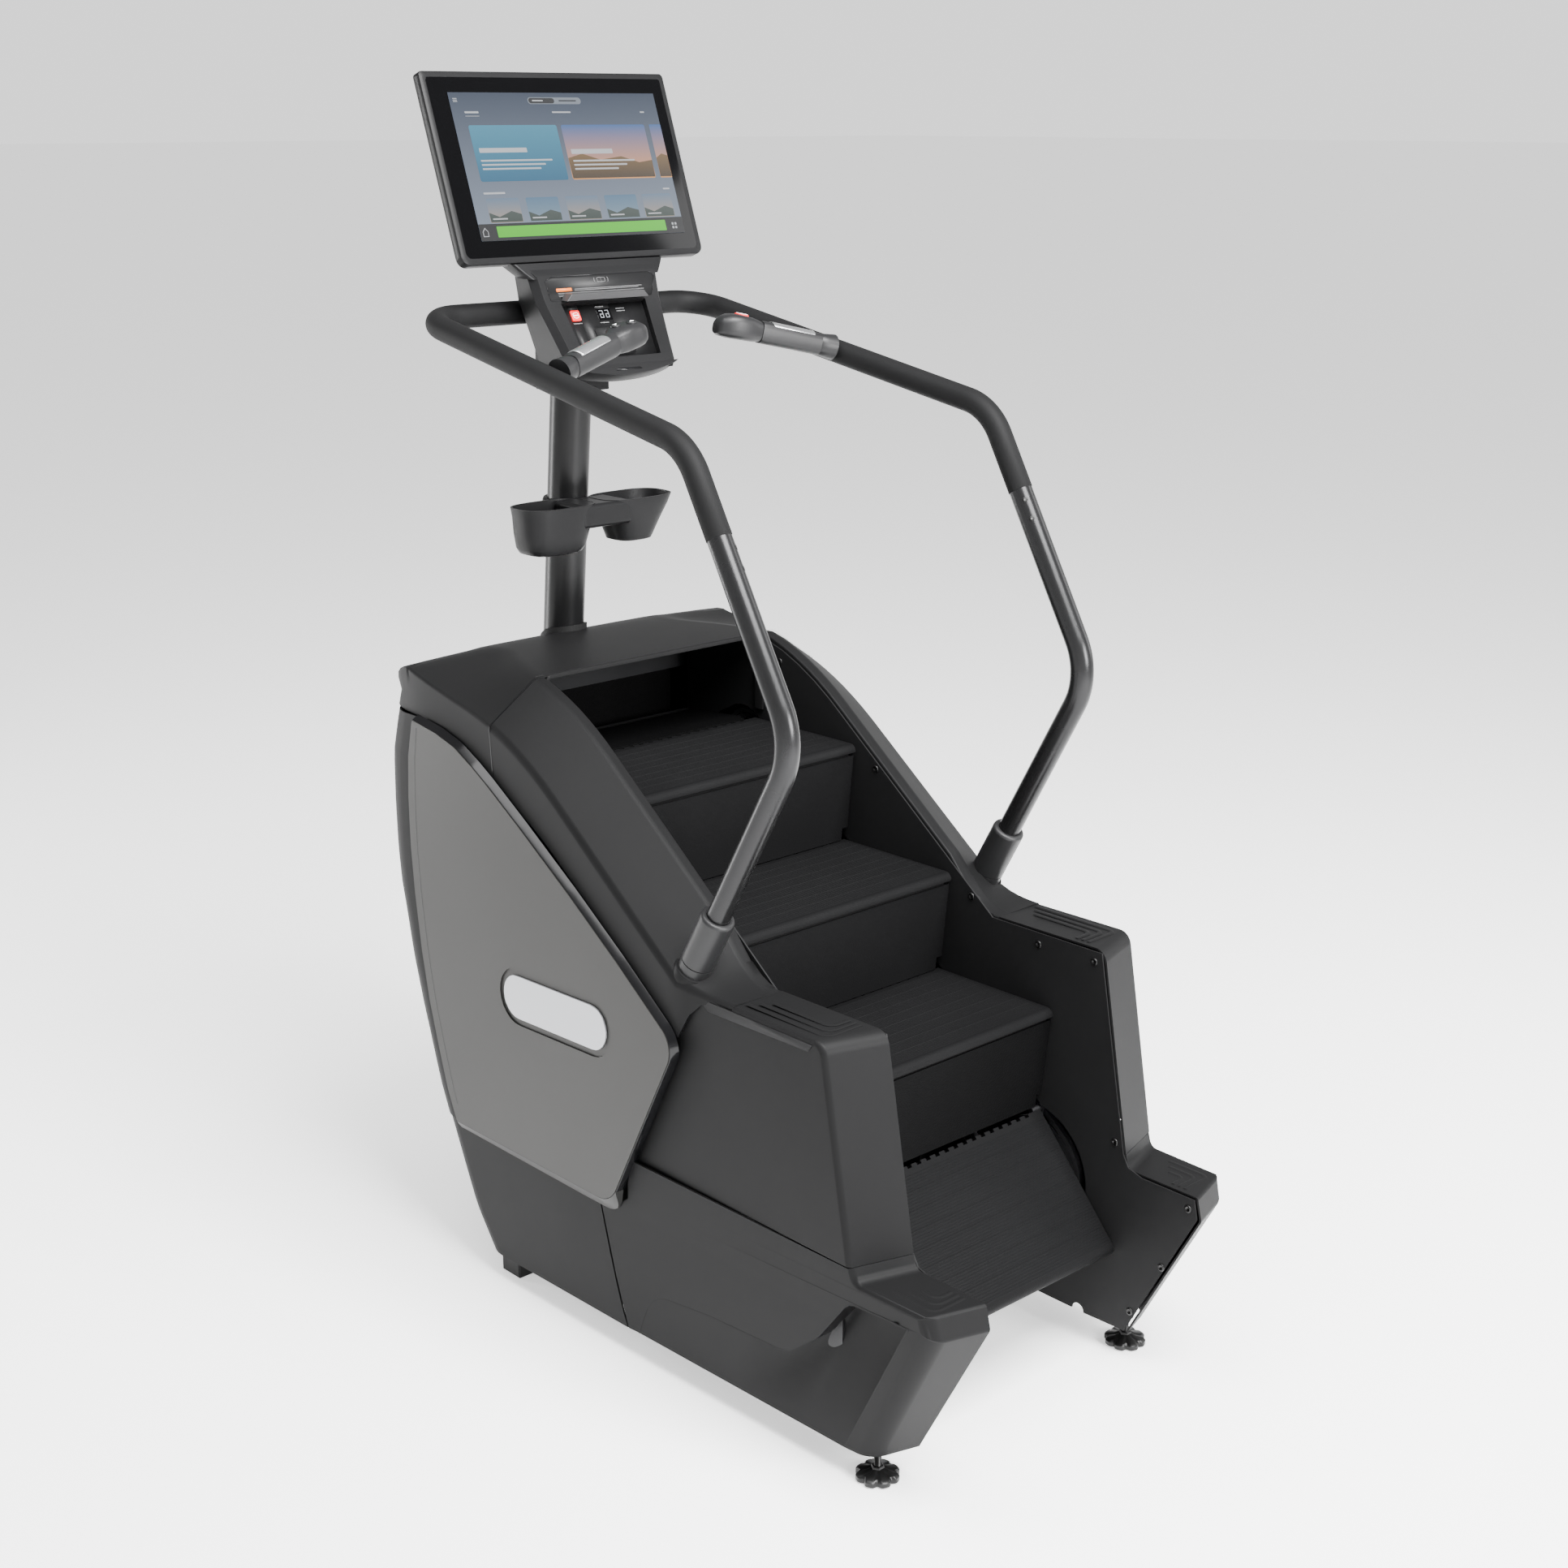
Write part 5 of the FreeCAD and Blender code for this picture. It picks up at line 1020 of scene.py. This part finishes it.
def neck_collar():
    """Flared top of the console under the display, and the curved chin below its panel."""
    rings = []
    for z, y, half, back in ((1.852, 0.539, 0.1475, 0.596), (1.862, 0.5475, 0.159, 0.602),
                             (1.872, 0.5545, 0.168, 0.612), (1.8785, 0.56, 0.1735, 0.622)):
        path = rounded([(-half, y), (half, y), (half - 0.004, back), (-half + 0.004, back)],
                       [0.007, 0.007, 0.014, 0.014], 5)
        rings.append([Vector((p.x, p.y, z)) for p in path])
    collar = split_edges(loft("collar", rings), 40)
    rings = []
    for drop, out in ((0.0, 0.0006), (0.5, 0.0018), (0.92, 0.0008), (1.0, -0.003), (0.9, -0.03)):
        ring = []
        for i in range(25):
            x = -0.1205 + 0.241 * i / 24
            bow = 0.0215 * (1 - (x / 0.1215) ** 2) ** 0.8
            ring.append(plane_point(SUNK, x, -bow * drop - 0.0006, out))
        rings.append(ring)
    chin = split_edges(loft("chin", rings, caps=False, closed=False), 40)
    dress(join("console_collar", [collar, chin]), "frame", CONSOLE, "console_plastic")
    # black plate on the chin: painted shade in place of the slot opening
    slot = plane_patch([(-0.03, -0.0125), (0.03, -0.0125), (0.026, -0.0085), (-0.026, -0.0085)],
                       SUNK, 0.0022, GLOSS)
    slot.name = "chin_slot_shade"
    dress(slot, "frame", None, "inner_black")


def plane_patch(points, plane, out, mat, depth=0.0008):
    """Thin plate that stands out of a console plane; points are (across, up)."""
    sheets = [[plane_point(plane, x, u, out - d) for x, u in points] for d in (0, depth)]
    return paint(loft("patch", sheets), mat)


def outline_strip(points, width, plane, out, mat):
    """Thin closed line that follows the points on a console plane."""
    parts = []
    for start, end in zip(points, points[1:] + points[:1]):
        a, b = Vector(start), Vector(end)
        side = (b - a).normalized().orthogonal() * width / 2
        parts.append(plane_patch([a - side, b - side, b + side, a + side], plane, out, mat, 0.0005))
    return parts


def brow_details():
    """Inset above the ledge with printed rules, an orange tab and a charging mark."""
    inset = [tuple(p) for p in rounded([(-0.118, 0.003), (0.116, 0.003), (0.131, 0.04), (0.119, 0.0465),
                                        (-0.104, 0.0465), (-0.121, 0.04)], [0.003] * 6, 3)]
    parts = [plane_patch(inset, BROW, 0.0005, INSET, 0.0004)]
    parts += outline_strip(inset, 0.0008, BROW, 0.0009, GLOSS)
    for x0, x1, u in ((-0.06, 0.096, 0.0215), (-0.06, 0.088, 0.019), (-0.098, 0.1, 0.015),
                      (-0.098, 0.06, 0.0122), (-0.098, 0.084, 0.0094)):
        parts.append(plane_patch(card(x0, x1, u, u + 0.0009, 0.0002), BROW, 0.0009, PRINT, 0.0003))
    parts.append(plane_patch(card(-0.101, -0.066, 0.0185, 0.0245, 0.0012), BROW, 0.001, ORANGE, 0.0004))
    parts += outline_strip(card(-0.004, 0.014, 0.0325, 0.0405, 0.002), 0.0008, BROW, 0.0009, PRINT)
    bolt = [(0.004, 0.0395), (0.0056, 0.0373), (0.0048, 0.0369), (0.0062, 0.0337), (0.0044, 0.0363),
            (0.0053, 0.0367)]
    marks = [bolt]
    for s in (-1, 1):
        arc = [(0.005 + s * (0.0135 + 0.0022 * math.cos(t)), 0.0365 + 0.0046 * math.sin(t))
               for t in (-1.2, -0.6, 0.0, 0.6, 1.2)]
        marks.append(arc + [(x + s * 0.0008, u) for x, u in arc[::-1]])
    return parts + [plane_patch(mark, BROW, 0.001, PRINT, 0.0003) for mark in marks]


def tray_details():
    """Floor of the sunken panel, left open round the key and the level window, with its door and a black
    card on the door as painted shade for its pocket.
    """
    base = -PANEL_SINK + 0.0005
    low, high = 0.0155, 0.1255
    x0, x1, hole_low, hole_high = -0.0772, -0.0553, 0.0943, 0.1167
    x2, x3, window_low, window_high = -0.0164, 0.0164, 0.0936, 0.1164
    parts = []
    for corners in ([(-0.0865, low), (x0, low), (x0, high), (-0.0965, high)],
                    [(x0, low), (x1, low), (x1, hole_low), (x0, hole_low)],
                    [(x0, hole_high), (x1, hole_high), (x1, high), (x0, high)],
                    [(x1, low), (x2, low), (x2, high), (x1, high)],
                    [(x2, low), (x3, low), (x3, window_low), (x2, window_low)],
                    [(x2, window_high), (x3, window_high), (x3, high), (x2, high)],
                    [(x3, low), (0.0865, low), (0.0965, high), (x3, high)]):
        parts.append(plane_patch(corners, SUNK, base, INSET, 0.0004))
    door = [tuple(p) for p in rounded([(-0.031, 0.023), (0.04, 0.023), (0.05, 0.081), (-0.036, 0.081)],
                                      [0.006] * 4, 4)]
    parts.append(plane_patch(door, SUNK, base + 0.0016, CONSOLE, 0.0016))
    parts += outline_strip(door, 0.0008, SUNK, base + 0.0006, GLOSS)
    # black card on the door: painted shade in place of the pocket's hollow
    parts.append(plane_patch(card(0.014, 0.044, 0.046, 0.074, 0.006), SUNK, base + 0.002, GLOSS, 0.0004))
    lines = [(0.058, 0.05, 0.0015)]
    lines += [(x, u, 0.0014) for x, u in ((-0.0765, 0.0895), (-0.016, 0.088), (-0.016, 0.12),
                                          (0.03, 0.114), (0.03, 0.109))]
    for x, u, height in lines:
        line = card(x, x + 0.02, u, u + height, 0.0005)
        parts.append(plane_patch(line, SUNK, base + 0.0004, PRINT, 0.0003))
    return parts


def console_details():
    dress(join("console_details", brow_details() + tray_details()), "frame", None, "console_plastic")


def stop_key():
    """Raised red face of the stop key with a plain round mark."""
    middle = Vector((-0.06625, 0.1055))
    face = rounded([(-0.0765, 0.095), (-0.056, 0.095), (-0.056, 0.116), (-0.0765, 0.116)], [0.003] * 4, 4)
    rings = []
    for size, out in ((1.0, -0.005), (1.0, 0.002), (0.95, 0.0028), (0.9, 0.003)):
        shrunk = [middle + (p - middle) * size for p in face]
        rings.append([plane_point(SUNK, q.x, q.y, out - PANEL_SINK) for q in shrunk])
    cap = paint(split_edges(loft("cap", rings), 40), KEY_RED)
    lift = 0.0033 - PANEL_SINK
    mark = [plane_patch(card(-0.0715, -0.061, 0.1045, 0.1065, 0.0004), SUNK, lift, WHITE, 0.0003)]
    mark += outline_strip(card(-0.0722, -0.0603, 0.1003, 0.1107, 0.004), 0.001, SUNK, lift, WHITE)
    dress(join("stop_cap", [cap] + mark), "stop_key", None, "key_red", "stop_button")


def level_digits():
    """Two lit digits made of plain bars."""
    lit = glowing("digit_white", (0.7, 0.75, 0.8), (0.7, 0.75, 0.8), 1.2)
    bars = []
    for x in (-0.0105, 0.0025):
        for x0, x1, u0, u1 in ((0, 0.008, 0.1115, 0.1128), (0, 0.008, 0.1047, 0.106),
                               (0, 0.008, 0.098, 0.0993), (0.0067, 0.008, 0.098, 0.1128),
                               (0, 0.0013, 0.098, 0.105)):
            corners = [(x + x0, u0), (x + x1, u0), (x + x1, u1), (x + x0, u1)]
            bars.append(plane_patch(corners, SUNK, 0.0014 - PANEL_SINK, lit, 0.0003))
    dress(join("level_digits", bars), "frame", None, "screen_glass")


# ---- Cup holder ----
CUP_LEFT = [(0.1, 0.05, 0.036, 1.349), (0.1, 0.058, 0.0425, 1.352), (0.099, 0.0655, 0.0465, 1.362),
            (0.0965, 0.072, 0.0495, 1.39), (0.094, 0.0765, 0.051, 1.42), (0.092, 0.0815, 0.052, 1.436),
            (0.092, 0.082, 0.052, 1.438)]
CUP_RIGHT = [(0.086, 0.034, 0.032, 1.354), (0.086, 0.04, 0.0365, 1.356), (0.087, 0.043, 0.038, 1.362),
             (0.089, 0.057, 0.0455, 1.392), (0.091, 0.0745, 0.0505, 1.421), (0.092, 0.0815, 0.052, 1.436),
             (0.092, 0.082, 0.052, 1.438)]


def cup_well(sign, outer):
    """Thin-walled well with three black blocks in its floor as painted shade for its drain slits."""
    across = Vector((1, 0, 0))
    along = Vector((0, 1, 0))
    wall = SKIN
    floor_z = outer[0][3]
    rings = [superoval(Vector((sign * x, 0.57, z)), across, along, a, b, 3.0, 56) for x, a, b, z in outer]
    rings += [superoval(Vector((sign * x, 0.57, max(z, floor_z + wall))), across, along, a - wall, b - wall,
                        3.0, 56) for x, a, b, z in outer[::-1]]
    parts = [paint(split_edges(loft("well", rings), 40), CONSOLE)]
    middle = sign * outer[0][0]
    # black blocks in the floor: painted shade in place of the drain slits
    for y in (0.56, 0.5685, 0.577):
        low = (middle - 0.02, y, floor_z - 0.0005)
        high = (middle + 0.02, y + 0.003, floor_z + 0.0005)
        parts.append(paint(block("slit", low, high, 0.0002), GLOSS))
    return parts


def cup_holder():
    """Deep cup well and shallower tapered well, with a bridge that clamps on the mast."""
    parts = cup_well(-1, CUP_LEFT) + cup_well(1, CUP_RIGHT)
    parts.append(paint(block("bridge", (-0.06, 0.5215, 1.392), (0.06, 0.612, 1.4372), 0.009, 4), CONSOLE))
    profile = [(0.0392, 0.0), (0.047, 0.001), (0.048, 0.004), (0.048, 0.042), (0.046, 0.046),
               (0.0392, 0.046)]
    clamp = lathe("clamp", profile, Vector((0, 0.6503, 1.386)), Vector((0, -0.0925, 1.0)), 56)
    parts.append(paint(clamp, CONSOLE))
    dress(join("cup_holder_body", parts), "frame", None, "console_plastic", "cup_holder")


# ---- Handrails and mast ----
def bent_path(points, radii, steps=16):
    """3-D line with an arc at each inner point."""
    out = [points[0]]
    for before, p, after, radius in zip(points, points[1:], points[2:], radii):
        a = (before - p).normalized()
        b = (after - p).normalized()
        half = a.angle(b) / 2
        centre = p + (a + b).normalized() * (radius / math.sin(half))
        start = p + a * (radius / math.tan(half)) - centre
        end = p + b * (radius / math.tan(half)) - centre
        axis = start.cross(end).normalized()
        turn = start.angle(end)
        out += [centre + Quaternion(axis, turn * k / steps) @ start for k in range(steps + 1)]
    return out + [points[-1]]


def tube(name, path, radius, segments=40, ends=0.0):
    """Round bar along a 3-D path, with softly rounded ends."""
    tangents = []
    for a, b in zip([path[0]] + path[:-1], path[1:] + [path[-1]]):
        tangents.append((b - a).normalized())
    points = [path[0]] + path + [path[-1]]
    tangents = [tangents[0]] + tangents + [tangents[-1]]
    side = tangents[0].orthogonal().normalized()
    rings = []
    for i, (p, t) in enumerate(zip(points, tangents)):
        side = (side - t * side.dot(t)).normalized()
        up = t.cross(side)
        outer = i in (0, len(points) - 1)
        r = radius - ends if outer else radius
        middle = p + t * (ends if i == 1 else -ends if i == len(points) - 2 else 0.0)
        rings.append([middle + side * (r * math.cos(a)) + up * (r * math.sin(a)) for a in
                      [2 * math.pi * k / segments for k in range(segments)]])
    return split_edges(loft(name, rings), 50)


def handrails():
    """Painted lower tubes with black discs as painted shade for their holes, and the rubber sleeves that
    meet behind the console.
    """
    tubes = []
    holes = []
    hole = [(0.005, 0.0), (0.0046, 0.0008), (0.003, 0.001), (0.0, 0.0006)]
    for sign, side in SIDES:
        foot, knee, bend = rail_points(sign)
        rear = Vector((sign * 0.321, *SLEEVE_MEETING))
        lower_part = bent_path([foot.lerp(knee, 0.1), knee, knee.lerp(bend, 0.7)], [0.12])
        tubes.append(tube("tube", lower_part, 0.0205))
        route = bent_path([knee.lerp(bend, 0.688), bend, rear, Vector((0, *SLEEVE_MEETING))], [0.11, 0.075])
        sleeve = tube("rail_sleeve_" + side, route, 0.0215, ends=0.0012)
        dress(sleeve, "frame", SLEEVE, "sleeve_rubber", "handrail_sleeve_" + side)
        facing = Vector((-sign, -0.9, 0.5))
        run = (bend - knee).normalized()
        facing = (facing - run * facing.dot(run)).normalized()
        for share in (0.575, 0.645):
            # black discs on the tube: painted shade in place of the holes
            holes.append(lathe("hole", hole, knee.lerp(bend, share) + facing * 0.02, facing, 24))
    dress(join("rail_tubes", tubes), "frame", TUBE, "satin_tube", "handrail_tubes")
    dress(join("rail_hole_shades", holes), "frame", SCREW, "gloss_black")


def mast():
    pole = tube("mast_tube", [Vector((0, 0.676, 1.108)), Vector((0, 0.622, 1.69))], 0.039, 72)
    dress(pole, "frame", MAST, "mast_paint", "mast")


# ---- Grips ----
def grip_axes(sign):
    """Start of a grip arm on the sleeve, with its own directions."""
    start = Vector((sign * 0.318, 0.243, 1.723))
    axis = Vector((-sign * 0.937, 0.27, 0.221)).normalized()
    side = Vector((0, 0, 1)).cross(axis).normalized()
    up = axis.cross(side).normalized()
    return start, axis, axis.cross(up).normalized(), up


def grip_arm(sign):
    start, axis, side, up = grip_axes(sign)
    rings = []
    for d, a, b, power in ((0.004, 0.0235, 0.0235, 2.0), (0.022, 0.0215, 0.0215, 2.2),
                           (0.034, 0.0195, 0.0195, 2.6), (0.036, 0.0185, 0.0185, 2.6),
                           (0.0365, 0.0195, 0.02, 3.0), (0.09, 0.0195, 0.02, 3.2),
                           (0.15, 0.0195, 0.0205, 3.2), (0.158, 0.019, 0.02, 3.0)):
        rings.append(superoval(start + axis * d, side, up, a, b, power))
    return split_edges(loft("arm", rings), 40)


def pulse_plate(sign):
    """Curved contact plate on top of the grip arm, narrowed at both ends."""
    start, axis, side, up = grip_axes(sign)
    strip = []
    for d, width in ((0.052, 0.92), (0.056, 1.0), (0.134, 1.0), (0.138, 0.92)):
        row = []
        for i in range(13):
            t = math.radians(32 + 116 * i / 12)
            across = side * (0.02 * math.cos(t) * width)
            row.append(start + axis * d + across + up * (0.0208 * math.sin(t) ** 0.6))
        strip.append(row)
    return solidify(loft("plate", strip, caps=False, closed=False), 0.0012, 1.0)


def grip_head(sign):
    """Rounded control head at the end of the grip arm."""
    start, axis, side, up = grip_axes(sign)
    rings = []
    for d, a, b, lift, power in ((0.0, 0.0185, 0.018, 0.0, 3.0), (0.01, 0.0215, 0.02, 0.0, 3.0),
                                 (0.022, 0.0275, 0.0215, 0.0005, 3.4), (0.05, 0.029, 0.0225, 0.0005, 3.6),
                                 (0.066, 0.027, 0.0215, -0.001, 3.4), (0.08, 0.021, 0.017, -0.004, 3.0),
                                 (0.0855, 0.015, 0.012, -0.006, 2.8)):
        rings.append(superoval(start + axis * (HEAD_START + d) + up * lift, side, up, a, b, power))
    return split_edges(loft("head", rings), 50)


def grip_key(name, sign, d, sideways, radius, mat, slot):
    """Domed key on a control head, with a white ring or arrow."""
    start, axis, side, up = grip_axes(sign)
    base = start + axis * (HEAD_START + d) + side * sideways + up * 0.019
    dome = [(radius, 0.0), (radius, 0.0046), (radius * 0.93, 0.0058), (0.0, 0.0062)]
    cap = paint(lathe("cap", dome, base, up, 36), mat)
    if name == "pause":
        ring = [(0.8, 0.0058), (0.8, 0.0066), (0.66, 0.0068), (0.66, 0.006)]
        mark = lathe("ring", [(radius * share, z) for share, z in ring], base, up, 36)
    else:
        tip = 1 if name == "faster" else -1
        corners = [(-0.0035, -0.003 * tip), (0.0035, -0.003 * tip), (0.0, 0.004 * tip)]
        top = [base + side * x + axis * y + up * 0.0068 for x, y in corners]
        mark = loft("arrow", [top, [p - up * 0.001 for p in top]])
    obj = join(name + "_cap", [cap, paint(mark, WHITE)])
    dress(obj, name + "_key", None, slot, name + "_button")


def grips():
    for name, make, mat, slot, node in (
            ("grip_arm_skins", grip_arm, GRIP, "grip_plastic", "grip_arms"),
            ("pulse_plates", pulse_plate, STEEL, "contact_steel", "contact_plates"),
            ("head_skins", grip_head, GRIP, "grip_plastic", "control_heads")):
        dress(join(name, [make(-1), make(1)]), "frame", mat, slot, node)
    grip_key("faster", -1, 0.03, -0.009, 0.009, KEY_GREY, "key_grey")
    grip_key("slower", -1, 0.052, 0.009, 0.009, KEY_GREY, "key_grey")
    grip_key("pause", 1, 0.04, 0.0, 0.013, KEY_RED, "key_red")


# ---- Feet ----
def levelling_feet():
    """Scalloped foot discs with a lock nut and a threaded stem."""
    up = Vector((0, 0, 1))
    for sign, side in SIDES:
        origin = Vector((sign * 0.3158, -0.5357, 0.0))
        disc = lathe("disc", [(0.034, 0.0), (0.0375, 0.0025), (0.0375, 0.01), (0.0335, 0.0135),
                              (0.02, 0.015), (0.012, 0.019)], origin, up, 96, 0.16, 8)
        nut = lathe("nut", [(0.0115, 0.012), (0.0115, 0.021), (0.01, 0.023)], origin, up, 6)
        stem = []
        z = 0.018
        while z < 0.086:
            stem += [(0.0056, z), (0.0062, z + 0.0008)]
            z += 0.0016
        obj = join("foot_" + side, [disc, nut, lathe("stem", stem, origin, up, 24)])
        dress(split_edges(obj, 40), "foot_" + side, FOOT, "foot_plastic", "front_foot_" + side)


# ---- Assemble ----
for s, label in SIDES:
    for piece in (stringer, column, lower, scoop, deck_shade_strip, cover_cut, panel_rims, panel_screws,
                  socket_collar):
        piece(s, label)
    contour_ridges("deck_ridges_" + label, s, (0.276, -0.446), 0.074, 0.185, DECK_Z)
    contour_ridges("pad_ridges_" + label, s, (0.276, -0.68), 0.066, 0.085, PAD_Z)
hood()
hood_lip()
hood_seams()
rear_covers()
steps()
screen_ui()
display_shell()
neck_collar()
console_details()
stop_key()
level_digits()
cup_holder()
handrails()
mast()
grips()
levelling_feet()

CAD_LOOKS = {
    "side_badges": (BADGE, 0.0009), "hood_liner": (RISER, 0.0008), "power_inlet": (INNER, 0.0008),
    "rail_sockets": (SOCKET, 0.0012), "console_neck": (CONSOLE, 0.0022), "mast_gasket": (RUBBER, 0.0008),
    "phone_ledge": (LEDGE, 0.0015), "level_display": (GLASS, 0.0004), "display_glass": (GLASS, 0.0002),
    "brake_pulley": (ALLOY, 0.0008), "brake_unit": (IRON, 0.0015), "drive_belt": (RUBBER, 0.0),
    "rear_feet": (RUBBER, 0.0), "inner_skirts": (INNER, 0.0)}
for material, rounding, names in (
        (FRAME_STEEL, 0.0015, ("base_frame", "upright_frame")),
        (PANEL, 0.0022, ("side_panel_left", "side_panel_right")),
        (TREAD, 0.0012, ("flight_steps", "return_steps")),
        (STEEL_DARK, 0.0006, ("lower_sprockets", "drive_sprockets")),
        (STEEL_DARK, 0.0005, ("flight_axles", "return_axles", "step_chains", "upper_carriers"))):
    CAD_LOOKS.update({name: (material, rounding) for name in names})
for k in (0, 3, 4, 7):
    CAD_LOOKS["tread_%d" % k] = (TREAD, 0.0012)
    CAD_LOOKS["riser_%d" % k] = (RISER, 0.0012)
for node, (material, rounding) in CAD_LOOKS.items():
    mesh = finish_cad(node, rounding).data
    for i in range(len(mesh.materials)):
        mesh.materials[i] = material
    if not mesh.materials:
        mesh.materials.append(material)


# ---- Floor, light and camera ----
def floor():
    """Wide flat floor, slightly lit so that it stays pale."""
    reach = 150
    corners = [(x * reach, y * reach, -0.0005) for x, y in ((-1, -1), (1, -1), (1, 1), (-1, 1))]
    mat, tree, shader = base_material("floor_paper")
    feed(tree, shader, {"Base Color": (0.93, 0.93, 0.93, 1), "Roughness": 0.8, "Specular IOR Level": 0.1,
                        "Emission Color": (1, 1, 1, 1), "Emission Strength": 0.9})
    paint(new_object("floor", corners, [(0, 1, 2, 3)], smooth=False), mat)


def place(obj, location, direction):
    """Puts a light or the camera in the scene, facing in a direction."""
    obj.location = location
    obj.rotation_euler = Vector(direction).to_track_quat("-Z", "Y").to_euler()
    bpy.context.scene.collection.objects.link(obj)


def area_light(name, location, target, size, power):
    data = bpy.data.lights.new(name, "AREA")
    data.shape = "RECTANGLE"
    data.size, data.size_y = size
    data.energy = power
    place(bpy.data.objects.new(name, data), location, Vector(target) - Vector(location))


def lights():
    """Room that is brightest at the horizon, with soft panels in front, above and behind."""
    world = bpy.data.worlds.new("studio")
    world.use_nodes = True
    tree = world.node_tree
    coords = add_node(tree, "TexCoord").outputs["Generated"]
    height = add_node(tree, "SeparateXYZ", {"Vector": coords}).outputs["Z"]
    band = add_node(tree, "MapRange", {"Value": height, "From Min": 0.06, "From Max": 0.3, "To Min": 1.45,
                                       "To Max": 0.42})
    feed(tree, tree.nodes["Background"], {"Color": (1, 1, 1, 1), "Strength": band.outputs["Result"]})
    bpy.context.scene.world = world
    area_light("key", (-0.3, -2.6, 4.9), (0, 0, 0.8), (2.6, 2.6), 1150)
    area_light("front", (0.6, -4.6, 2.2), (0, 0, 0.6), (1.6, 1.6), 430)
    area_light("left_rear", (-2.0, 4.2, 1.3), (-0.4, 0.7, 0.7), (0.7, 2.4), 110)
    area_light("right", (3.4, -1.6, 2.6), (0, 0, 0.9), (1.2, 2.6), 60)
    area_light("top", (-1.0, 0.2, 4.6), (-0.2, 0.3, 0.9), (2.2, 2.2), 170)


def camera():
    data = bpy.data.cameras.new("camera")
    data.lens = 52.27
    data.sensor_width = 36.0
    obj = bpy.data.objects.new("camera", data)
    place(obj, (-2.62443, -2.82446, 2.14114), (0.64855, 0.7064, -0.28352))
    bpy.context.scene.camera = obj


floor()
lights()
camera()
